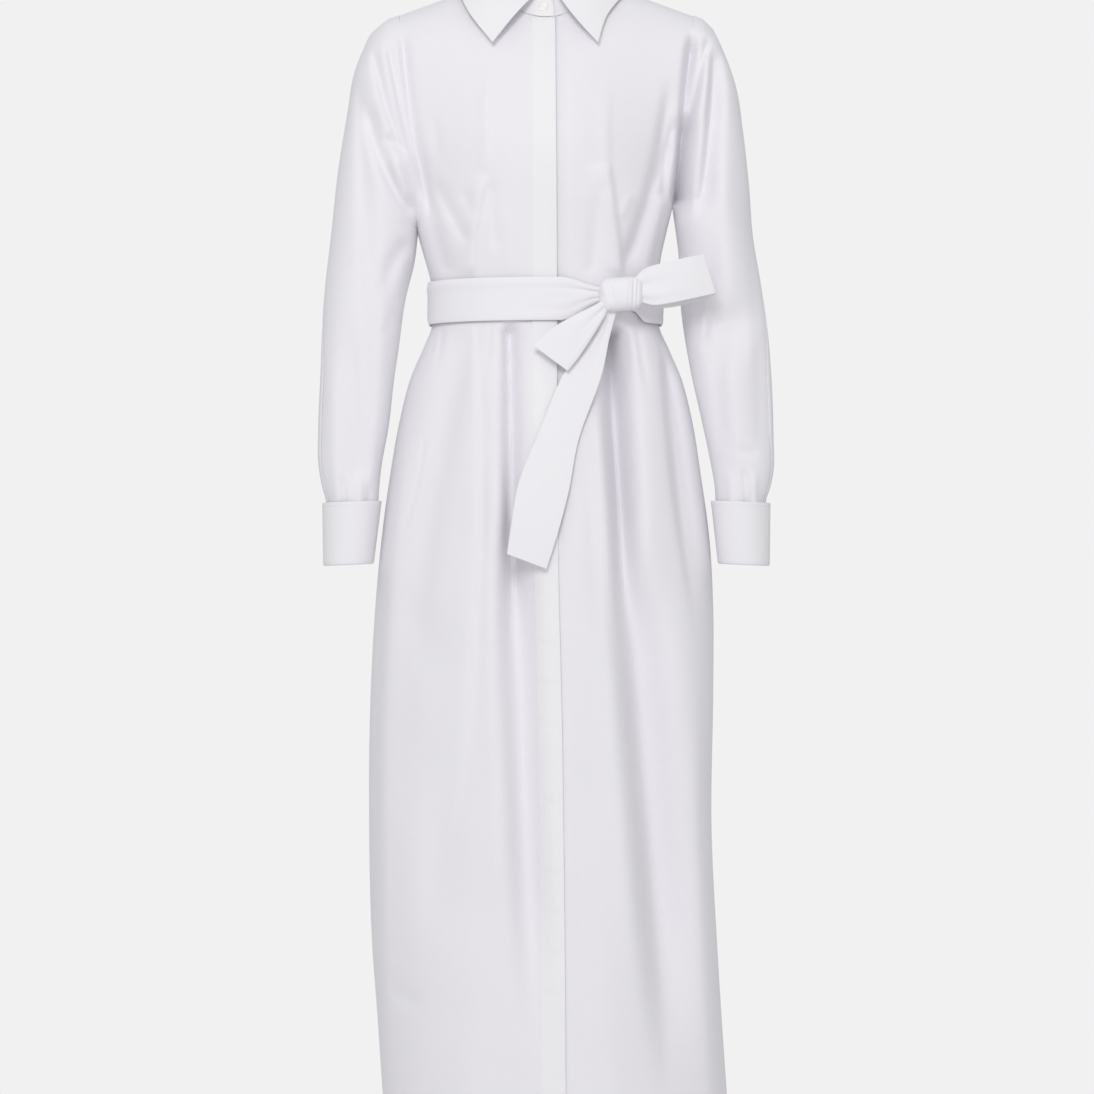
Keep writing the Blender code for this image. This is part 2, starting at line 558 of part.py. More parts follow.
def make_cuff(side, name):
    """A turned-back cuff: an outer wall, a fold at the bottom and an inner wall, as one turned ring."""
    top_x, top_half, low_x, low_half = CUFF[side]
    inner = CUFF_WALL + CUFF_SPACE
    profile = (
        # inwards from the outer face, height
        (0.0, CUFF_TOP_Z),
        (0.0, CUFF_LOW_Z + 0.0015),
        (0.0018, CUFF_LOW_Z),
        (inner + CUFF_WALL - 0.0010, CUFF_LOW_Z + 0.0003),
        (inner + CUFF_WALL, CUFF_LOW_Z + 0.0020),
        (inner + CUFF_WALL, CUFF_INNER_TOP_Z),
        (inner, CUFF_INNER_TOP_Z),
        (inner, CUFF_LOW_Z + 0.0030),
        (CUFF_WALL, CUFF_LOW_Z + 0.0030),
        (CUFF_WALL, CUFF_TOP_Z),
    )
    mesh = bmesh.new()
    rings = []
    for inwards, z in profile:
        down = (CUFF_TOP_Z - z) / (CUFF_TOP_Z - CUFF_LOW_Z)
        centre = top_x + (low_x - top_x) * down
        half = top_half + (low_half - top_half) * down - inwards
        half_depth = CUFF_HALF_DEPTH[0] + (CUFF_HALF_DEPTH[1] - CUFF_HALF_DEPTH[0]) * down - inwards
        ring = []
        for k in range(CUFF_SIDES):
            angle = math.tau * k / CUFF_SIDES
            point = (centre + half * math.cos(angle), CUFF_MIDDLE_Y + half_depth * math.sin(angle), z)
            ring.append(mesh.verts.new(point))
        rings.append(ring)
    for k, ring in enumerate(rings):
        following = rings[(k + 1) % len(rings)]
        for j in range(CUFF_SIDES):
            nxt = (j + 1) % CUFF_SIDES
            mesh.faces.new((ring[j], following[j], following[nxt], ring[nxt]))
    add_object(name, mesh)


def neck_point(degrees, up, lean):
    """A place round the neck seam, from the middle front by the wearer's right, raised by up."""
    angle = np.radians(degrees)
    forward = np.cos(angle)
    reach = np.where(forward > 0, NECK_REACH[FRONT], NECK_REACH[BACK])
    drop = np.where(forward > 0, NECK_DROP[FRONT], NECK_DROP[BACK])
    x = -NECK_HALF_WIDTH * np.sin(angle) * lean
    y = -reach * forward * lean
    return np.stack((x, y, -drop * forward ** 2 + up), axis=-1)


def make_collar_stand():
    """The band round the neck. Its right end lies over its left end at the middle front."""
    degrees = np.linspace(STAND_TOP_END, STAND_UNDER_END, STAND_STATIONS)
    under = STAND_UNDER_PUSH * smooth_step((degrees - STAND_UNDER_START) / STAND_UNDER_FADE)
    rows = []
    for share in (1.0, 0.5, 0.0):
        lean = 1.0 + (STAND_LEAN - 1.0) * share
        row = neck_point(degrees, STAND_RAISE + STAND_HEIGHT * share, lean)
        row[:, 1] += under
        rows.append(row)
    grid = np.stack(rows)
    cloth_wall("collar_stand", [(grid, True)], STAND_THICKNESS)


def make_collar():
    """The leaf, turned down from the top of the stand to its outer edge and the two tips."""
    degrees = np.linspace(LEAF_ENDS[0], LEAF_ENDS[1], LEAF_STATIONS)
    fold = neck_point(degrees, STAND_RAISE + STAND_HEIGHT, STAND_LEAN)
    out = fold[:, :2] / np.linalg.norm(fold[:, :2], axis=1)[:, None]
    fold[:, :2] += out * LEAF_FOLD_OUT
    fold[:, 2] += LEAF_FOLD_UP
    place = np.linspace(-1.0, 1.0, LEAF_STATIONS)
    turn = np.abs(place)
    across = np.where(place < 0.0, read(LEAF_EDGE, "right", turn), read(LEAF_EDGE, "left", turn))
    edge = np.stack((across, read(LEAF_EDGE, "y", turn), read(LEAF_EDGE, "z", turn)), axis=-1)
    sway = LEAF_SWAY * smooth_step((place - 0.70) / 0.30)
    rows = []
    for k in range(LEAF_ROWS + 1):
        share = k / LEAF_ROWS
        row = fold + (edge - fold) * share
        row[:, :2] += out * LEAF_BULGE * math.sin(math.pi * share)
        row[:, 2] += LEAF_BULGE * math.sin(math.pi * share)
        row[:, 0] -= sway * math.sin(math.pi * share)
        rows.append(row)
    cloth_wall("collar", [(np.stack(rows), True)], LEAF_THICKNESS)


def make_button():
    """The neck button, with a rounded rim, on the right end of the stand."""
    mesh = bmesh.new()
    bmesh.ops.create_cone(mesh, cap_ends=True, segments=14, radius1=BUTTON_RADIUS,
                          radius2=BUTTON_RADIUS, depth=BUTTON_THICKNESS)
    bmesh.ops.bevel(mesh, geom=mesh.edges[:], offset=0.0005, segments=1, affect="EDGES")
    made = add_object("button_neck", mesh, BUTTON_WHITE, 0.35)
    share = (BUTTON_Z + NECK_DROP[FRONT]) / STAND_HEIGHT
    lean = 1.0 + (STAND_LEAN - 1.0) * share
    stand_y = -NECK_REACH[FRONT] * lean
    made.location = (BUTTON_X, stand_y - BUTTON_THICKNESS / 2 - LAYER_GAP, BUTTON_Z)
    made.rotation_euler = (math.radians(90.0 - BUTTON_LEAN), 0.0, 0.0)


def make_belt_wrap():
    """The band round the waist, from one side of the knot round the back to the other side."""
    start_x, end_x = BELT_WAIST_ENDS
    middle, half = outline(BELT_MIDDLE_Z)
    start = math.asin((start_x - middle) / half)
    end = math.asin((end_x - middle) / half)
    angle = np.linspace(start, end - math.tau, BELT_STATIONS)
    x = middle + half * np.sin(angle)
    front = np.cos(angle) > 0.0
    run = np.concatenate(([0.0], np.cumsum(np.hypot(np.diff(x), 0.004))))
    gather = smooth_step(1.0 - np.minimum(run, run[-1] - run) / BELT_TAPER)
    rows = []
    for z_edge in (BELT_TOP_Z, BELT_MIDDLE_Z, BELT_LOW_Z):
        upright = np.sign(z_edge - BELT_MIDDLE_Z)
        at_knot = KNOT_CENTRE[2] + upright * BELT_END_HALF
        z = z_edge + (at_knot - z_edge) * gather
        away = np.where(front, depth(x, z, FRONT), -depth(x, z, BACK))
        rows.append(np.stack((x, -away, z), axis=-1))
    grid = np.stack(rows)
    centre = np.array((middle, 0.0, 0.0))
    out = grid[1] - centre
    out[:, 0] /= half ** 2
    out[:, 1] /= read(BODY, "front", BELT_MIDDLE_Z) ** 2
    out[:, 2] = 0.0
    out /= np.linalg.norm(out, axis=1)[:, None]
    grid += out[None, :, :] * (BELT_LIFT + BELT_THICKNESS)
    cloth_wall("belt_wrap", [(grid, True)], BELT_THICKNESS)


def strip_grid(stations, steps, across=3):
    """A strip of cloth between two edges that run smoothly through stations, with a camber."""
    rows = [(float(k), *row) for k, row in enumerate(stations)]
    fields = table(STRIP_COLUMNS, *rows)
    place = np.linspace(0.0, len(rows) - 1.0, steps)
    x1, z1, x2, z2, y = (read(fields, name, place) for name in ("x1", "z1", "x2", "z2", "y"))
    share = np.linspace(1.0, -1.0, across + 1)[:, None]
    first = (1.0 + share) / 2.0
    x = x2 + (x1 - x2) * first
    z = z2 + (z1 - z2) * first
    y = y + STRIP_CAMBER * share ** 2
    return np.stack((x, y, z), axis=-1)


def make_bow():
    """The knot, the loop on the wearer's left and the two hanging ends of the half bow."""
    half = np.array(KNOT_SIZE) / 2.0
    turn = np.arange(KNOT_SIDES) * math.tau / KNOT_SIDES
    outline_x = np.sign(np.cos(turn)) * np.abs(np.cos(turn)) ** KNOT_ROUND[0]
    outline_z = np.sign(np.sin(turn)) * np.abs(np.sin(turn)) ** KNOT_ROUND[0]
    mesh = bmesh.new()
    rings = []
    for along in np.linspace(-KNOT_END_ANGLE, KNOT_END_ANGLE, KNOT_RINGS):
        ring = math.cos(along) ** KNOT_ROUND[1]
        y = -half[1] * math.copysign(abs(math.sin(along)) ** KNOT_ROUND[1], along)
        centre = Vector(KNOT_CENTRE)
        places = zip(half[0] * ring * outline_x, half[2] * ring * outline_z)
        rings.append([mesh.verts.new(centre + Vector((x, y, z))) for x, z in places])
    for k in range(KNOT_RINGS - 1):
        for j in range(KNOT_SIDES):
            beside = (j + 1) % KNOT_SIDES
            mesh.faces.new((rings[k][j], rings[k][beside], rings[k + 1][beside], rings[k + 1][j]))
    mesh.faces.new(rings[0][::-1])
    mesh.faces.new(rings[-1])
    add_object("belt_knot", mesh)
    loop = np.concatenate((strip_grid(LOOP_FRONT, 7), strip_grid(LOOP_BACK, 6)), axis=1)
    cloth_wall("belt_loop", [(loop, False)], BELT_THICKNESS)
    cloth_wall("belt_tail_short", [(strip_grid(SHORT_TAIL, 7), True)], BELT_THICKNESS)
    cloth_wall("belt_tail_long", [(strip_grid(LONG_TAIL, 12), True)], BELT_THICKNESS)


def main():
    for old in list(bpy.data.objects):
        bpy.data.objects.remove(old)
    make_panels()
    make_cuff(RIGHT, "cuff_right")
    make_cuff(LEFT, "cuff_left")
    make_collar_stand()
    make_collar()
    make_button()
    make_belt_wrap()
    make_bow()


main()
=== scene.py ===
"""White maxi shirt dress with long dolman sleeves, turned-back cuffs and a tied belt.

Metres, but for the tables read by table() and the tables of folds, which are in millimetres. +Z is
up, the front faces -Y and +X is the wearer's left. The origin is in the middle of the neck opening.
The sections follow the making of the dress: fronts, back, placket, hem, cuffs, collar, button and
belt. Each piece of cloth is a grid of points worked out by functions, given its thickness by
Solidify, and carries its own width and length in metres as its UV map.
"""

import math

import bmesh
import bpy
import numpy as np
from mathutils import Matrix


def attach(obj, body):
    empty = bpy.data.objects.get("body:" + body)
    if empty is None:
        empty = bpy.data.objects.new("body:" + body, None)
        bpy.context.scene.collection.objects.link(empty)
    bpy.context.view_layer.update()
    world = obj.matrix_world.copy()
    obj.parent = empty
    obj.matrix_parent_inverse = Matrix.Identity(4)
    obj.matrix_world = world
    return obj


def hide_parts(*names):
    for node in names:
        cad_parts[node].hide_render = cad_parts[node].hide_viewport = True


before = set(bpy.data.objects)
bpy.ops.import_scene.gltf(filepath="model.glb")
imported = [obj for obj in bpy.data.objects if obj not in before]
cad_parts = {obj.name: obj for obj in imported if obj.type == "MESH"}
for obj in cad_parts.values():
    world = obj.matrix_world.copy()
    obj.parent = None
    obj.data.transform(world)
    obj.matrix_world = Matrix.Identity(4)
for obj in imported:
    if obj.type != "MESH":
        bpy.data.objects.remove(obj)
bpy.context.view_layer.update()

# ---- Camera, room and light --------------------------------------------------------------------
# The camera stands level with the middle of the dress, square to it and four metres away. The room
# is pale and even. One wide soft lamp stands high in front, a little to the wearer's right.

CAMERA_PLACE = (0.0018, -4.0, -0.662)
CAMERA_LENS, CAMERA_SENSOR = 111.5, 36.0      # in millimetres
scene = bpy.context.scene
camera_data = bpy.data.cameras.new("camera")
camera_data.sensor_width = CAMERA_SENSOR
camera_data.lens = CAMERA_LENS
camera = bpy.data.objects.new("camera", camera_data)
camera.location = CAMERA_PLACE
camera.rotation_euler = (math.radians(90.0), 0.0, 0.0)
scene.collection.objects.link(camera)
scene.camera = camera
scene.view_settings.view_transform = "Standard"
scene.view_settings.look = "None"


class Value:
    """A socket in a tree of shader nodes. Arithmetic on it adds Math nodes."""

    def __init__(self, tree, socket=None):
        self.tree = tree
        self.socket = socket

    def add(self, kind, settings=None, inputs=None, output=0):
        """Adds a node: settings first, then values or links for its sockets. Gives one output."""
        made = self.tree.nodes.new(kind)
        for name, value in (settings or {}).items():
            setattr(made, name, value)
        for key, value in (inputs or {}).items():
            if isinstance(value, Value):
                self.tree.links.new(value.socket, made.inputs[key])
            else:
                made.inputs[key].default_value = value
        return Value(self.tree, made.outputs[output] if made.outputs else None)

    def math(self, operation, *values):
        """The result of one operation of a Math node."""
        return self.add("ShaderNodeMath", {"operation": operation}, dict(enumerate(values)))

    def __add__(self, other):
        return self.math("ADD", self, other)

    def __mul__(self, other):
        return self.math("MULTIPLY", self, other)

    def mix(self, low, high):
        """A colour between low, where this value is 0, and high, where it is 1."""
        return self.add("ShaderNodeMix", {"data_type": "RGBA"}, {0: self, 6: low, 7: high}, 2)


def grey(level):
    """A colour with the same level in red, green and blue."""
    return (level, level, level, 1.0)


def unit(vectors):
    """Vectors brought to a length of one."""
    return vectors / np.linalg.norm(vectors, axis=-1, keepdims=True)


ROOM_SEEN = 0.88
ROOM_SIDES, ROOM_WALLS = 0.55, 0.22      # the walls before and behind shine, the sides are dimmer
world = bpy.data.worlds.new("pale_room")
world.use_nodes = True
world.node_tree.nodes.clear()
room = Value(world.node_tree)
seen = room.add("ShaderNodeLightPath")
way = room.add("ShaderNodeNewGeometry", None, None, 4)
facing = room.add("ShaderNodeSeparateXYZ", None, {0: way}, 1)
room_light = (facing * facing) * ROOM_WALLS + ROOM_SIDES
room_colour = seen.mix(room_light, grey(ROOM_SEEN))
room_shine = room.add("ShaderNodeBackground", None, {"Color": room_colour, "Strength": 1.0})
room.add("ShaderNodeOutputWorld", None, {"Surface": room_shine})
scene.world = world

LAMP_AWAY, LAMP_SIDE, LAMP_POWER = 4.0, 1.3, 48.0
LAMP_AIM_Z, LAMP_TOWARDS = -0.6, (-0.10, -0.90, 0.42)      # from the middle of the dress
lamp_data = bpy.data.lights.new("lamp", "AREA")
lamp_data.shape = "DISK"
lamp_data.size = LAMP_SIDE
lamp_data.energy = LAMP_POWER
lamp = bpy.data.objects.new("lamp", lamp_data)
towards = unit(np.array(LAMP_TOWARDS))
lamp.location = towards * LAMP_AWAY + np.array((0.0, 0.0, LAMP_AIM_Z))
lamp.rotation_euler = (math.acos(towards[2]), 0.0, math.atan2(towards[1], towards[0]) + math.pi / 2)
scene.collection.objects.link(lamp)

# The floor is a pale disc under the hem. It fades into the room towards its edge.
FLOOR_Z, FLOOR_RADIUS, FLOOR_CLEAR, FLOOR_SHADE = -1.432, 0.74, 0.30, 0.86
floor_mesh = bmesh.new()
bmesh.ops.create_circle(floor_mesh, cap_ends=True, segments=96, radius=FLOOR_RADIUS)
bmesh.ops.translate(floor_mesh, vec=(0.0, 0.0, FLOOR_Z), verts=floor_mesh.verts)
floor_data = bpy.data.meshes.new("floor")
floor_mesh.to_mesh(floor_data)
floor_mesh.free()
floor = bpy.data.objects.new("floor", floor_data)
scene.collection.objects.link(floor)
floor_finish = bpy.data.materials.new("floor_finish")
floor_finish.use_nodes = True
floor_finish.node_tree.nodes.clear()
ground = Value(floor_finish.node_tree)
place = ground.add("ShaderNodeTexCoord", None, None, 3)
flat_place = ground.add("ShaderNodeVectorMath", {"operation": "MULTIPLY"},
                        {0: place, 1: (1.0, 1.0, 0.0)})
radius = ground.add("ShaderNodeVectorMath", {"operation": "LENGTH"}, {0: flat_place}, 1)
fading = ground.add("ShaderNodeMapRange", {"interpolation_type": "SMOOTHSTEP"},
                    {0: radius, 1: FLOOR_CLEAR, 2: FLOOR_RADIUS})
boards = ground.add("ShaderNodeBsdfDiffuse", None, {"Color": grey(FLOOR_SHADE)})
nothing = ground.add("ShaderNodeBsdfTransparent")
surface = ground.add("ShaderNodeMixShader", None, {0: fading, 1: boards, 2: nothing})
ground.add("ShaderNodeOutputMaterial", None, {"Surface": surface})
floor_data.materials.append(floor_finish)

# ---- The right front, with the front of the right sleeve ---------------------------------------
# A plain-woven white cotton panel, cut in one with the sleeve, pleated into the waist. It is sewn to
# the back along the shoulder and overarm, and along the underarm and side. Its edge takes the placket.

RIGHT, LEFT = -1, 1      # the wearer's right side is at -X
FRONT, BACK = -1, 1      # the front faces -Y
REACH = {FRONT: "front", BACK: "back"}       # the column of a table that tells a face's depth
CLOTH_WHITE = (0.865, 0.850, 0.890)
CLOTH_THICKNESS = 0.0010
SEAM_GAP = 0.0004        # between pieces that are sewn together
LAYER_GAP = 0.0006       # between a panel and what lies on it
NECK_HALF_WIDTH = 0.072
NECK_DROP = {FRONT: 0.047, BACK: 0.008}      # below the neck points, at the middle
NECK_REACH = {FRONT: 0.064, BACK: 0.058}     # before and behind the plane of the seams
SHOULDER_SLOPE = 0.365
SHOULDER_Z = -0.037                          # where the shoulder seam meets the armhole crease
SHOULDER_ROUND = 0.075                       # drop over which the shoulder rounds to the chest
ARMHOLE_DEPTH, ARMHOLE_RISE = 0.058, 0.110
ARMPIT_Z = {RIGHT: -0.286, LEFT: -0.256}
ARMPIT_ROW_Z, LEVEL_Z, HEM_Z = -0.272, -0.318, -1.421
CREASE_FLATNESS = 0.30
FOLD_SIDE_FADE = 0.12                        # share of the half width over which folds die away
FOLD_TOP_FADE, FOLD_CREASE_FADE = 0.020, 0.4     # the same below the top seams, and up the crease
BELT_TOP_Z, BELT_MIDDLE_Z, BELT_LOW_Z = -0.3515, -0.3760, -0.4005
BELT_PRESS_FADE = 0.016                      # above and below the belt, which presses folds flat
PLACKET_WIDTH = 0.029
UNDERLAP_WIDTH = 0.027
UNDERLAP_PUSH, UNDERLAP_FADE = (0.0042, 0.0022), (0.018, 0.008)     # at the chest, at the hem
UNDERLAP_LOW_Z, UNDERLAP_LOW_RUN = -0.35, 0.30   # where the first goes over into the second
SLEEVE_END_Z = {RIGHT: -0.632, LEFT: -0.629}
SLEEVE_CORNER_X = {RIGHT: -0.201, LEFT: 0.202}   # where the grid's top edge turns down the arm
CREASE_MARGIN = 1.02                         # a sleeve is at least this much deeper than its crease
SEAM_TURN, SEAM_TURN_Z = 30.0, (-0.30, -0.48)    # the overarm seam swings forward down the arm
# rows and columns of the grids
UPPER_ROWS, LEVEL_ROWS, LOW_ROWS = 96, 16, 280
EVEN_ROWS = 0.15                             # how much of the upper rows' spacing is even
SHOULDER_COLUMNS, NECK_COLUMNS, PLACKET_COLUMNS = 46, 18, 12
SLEEVE_COLUMNS, SLEEVE_ROWS = 60, 104


MM = 1000.0      # millimetres in a metre


def table(names, *rows):
    """A table in metres: one array for each named column, sorted by its first column."""
    return dict(zip(names.split(), np.array(sorted(rows)).T / MM))


def read(rows, column, place):
    """A smooth curve through a column of a table: a cubic between each two rows, whose slopes there
    are those between their neighbours."""
    at = next(iter(rows.values()))
    value = rows[column]
    slope = np.gradient(value, at)
    place = np.clip(place, at[0], at[-1])
    k = np.clip(np.searchsorted(at, place) - 1, 0, len(at) - 2)
    span = at[k + 1] - at[k]
    t = (place - at[k]) / span
    start = (1 + 2 * t) * (1 - t) ** 2 * value[k] + t * (1 - t) ** 2 * span * slope[k]
    end = t * t * (3 - 2 * t) * value[k + 1] - t * t * (1 - t) * span * slope[k + 1]
    return start + end


# The body: x of its right and left outline, and how far it reaches before and behind the seams.
BODY = table(
    "z right left front back",
    (-36, -172, 174, 66, 64),
    (-105, -165, 168, 92, 88),
    (-153, -159, 161, 107, 96),
    (-194, -156, 154, 116, 99),
    (-256, -153, 150, 111, 96),
    (-286, -151, 143, 106, 93),
    (-317, -143, 136, 101, 90),
    (-346, -135, 132, 97, 87),
    (-376, -131, 131, 95, 86),
    (-402, -133, 133, 97, 90),
    (-430, -144, 145, 103, 98),
    (-460, -157, 158, 109, 108),
    (-513, -171, 172, 117, 119),
    (-575, -182, 182, 123, 127),
    (-658, -193, 193, 128, 131),
    (-736, -200, 197, 131, 133),
    (-828, -205, 197, 134, 135),
    (-994, -207, 195, 138, 139),
    (-1138, -203, 202, 141, 142),
    (-1204, -198, 206, 143, 144),
    (-1306, -191, 213, 146, 147),
    (-1421, -183, 221, 150, 151),
)
# The right front's edge, which is the visible edge of the placket.
FRONT_EDGE = table("z x", (-45, 11.5), (-350, 13.5), (-690, 15),
                   (-850, 18.7), (-1080, 21.8), (-1421, 24))
# The sleeves: x of the overarm outline and of the inner outline, which begins at the armpit.
SLEEVE_OUTER = {
    RIGHT: table(
        "z x",
        (-36, -172), (-40, -184), (-53, -201), (-78, -215), (-105, -225),
        (-146, -232), (-221, -244), (-286, -251), (-371, -260), (-465, -264),
        (-519, -266), (-571, -265), (-592, -261), (-606, -257), (-632, -256),
    ),
    LEFT: table(
        "z x",
        (-36, 174), (-40, 184), (-51, 196), (-67, 204), (-92, 215),
        (-125, 225), (-172, 232), (-234, 239), (-298, 244), (-347, 252),
        (-394, 259), (-489, 266), (-536, 267), (-571, 267), (-595, 262),
        (-603, 259), (-629, 258),
    ),
}
SLEEVE_INNER = {
    RIGHT: table(
        "z x",
        (-286, -151), (-324, -155), (-371, -166), (-430, -174), (-465, -179),
        (-519, -185), (-571, -194), (-606, -197), (-632, -198),
    ),
    LEFT: table(
        "z x",
        (-256, 150), (-319, 158), (-375, 160), (-456, 172), (-506, 183),
        (-548, 192), (-595, 200), (-629, 201),
    ),
}
# How far the sleeve reaches before and behind its own middle, and where that middle lies.
SLEEVE_DEPTH = table(
    "z front back middle",
    (-36, 55, 55, 0),
    (-105, 61, 61, 0),
    (-194, 65, 67, 0),
    (-286, 60, 62, -1),
    (-371, 53, 53, -7),
    (-465, 45, 45, -15),
    (-571, 37, 37, -21),
    (-632, 32, 32, -23),
)

# Folds, each as x1 z1 x2 z2 x3 z3 height right left top low. It runs through three places. Its height
# is out of the cloth when positive. right and left are how wide it fades to either side of a line
# that runs down, by the wearer's own right and left. top and low are the lengths over which it rises
# at its first end and dies away at its last.
SHOULDER_FOLDS = {
    FRONT: (
        (-168, -56, -158, -153, -130, -285, -9, 5, 8, 30, 40),
        (-184, -70, -170, -148, -152, -223, -7.5, 4, 7, 25, 30),
        (-201, -78, -186, -148, -165, -206, -7, 4, 7, 20, 20),
        (-191, -184, -176, -194, -160, -212, -6.5, 4, 6, 12, 12),
        (-206, -140, -190, -215, -151, -280, -11, 7, 11, 30, 20),
        (-180, -206, -168, -238, -156, -262, 5, 6, 7, 15, 15),
        (172, -58, 162, -148, 153.5, -262, -28, 5.5, 12, 30, 12),
        (164, -150, 159, -200, 154, -285, -20, 6, 16, 30, 30),
        (190, -62, 175, -136, 161, -190, -11, 5, 6, 20, 30),
        (197, -68, 193, -155, 178, -290, -20, 6, 13, 30, 60),
        (152, -158, 143, -200, 137, -262, -8, 5, 7, 20, 20),
    ),
    BACK: (
        (-168, -60, -160, -160, -142, -285, -6.8, 7, 8, 30, 30),
        (-190, -80, -180, -150, -158, -230, -3.7, 6, 7, 30, 30),
        (-202, -140, -184, -215, -152, -275, -5.1, 6, 10, 30, 20),
        (170, -60, 161, -155, 142, -265, -7.1, 8, 7, 30, 30),
        (192, -85, 181, -150, 157, -215, -3.7, 7, 6, 30, 30),
        (201, -130, 186, -200, 152, -250, -5.1, 10, 6, 30, 20),
    ),
}
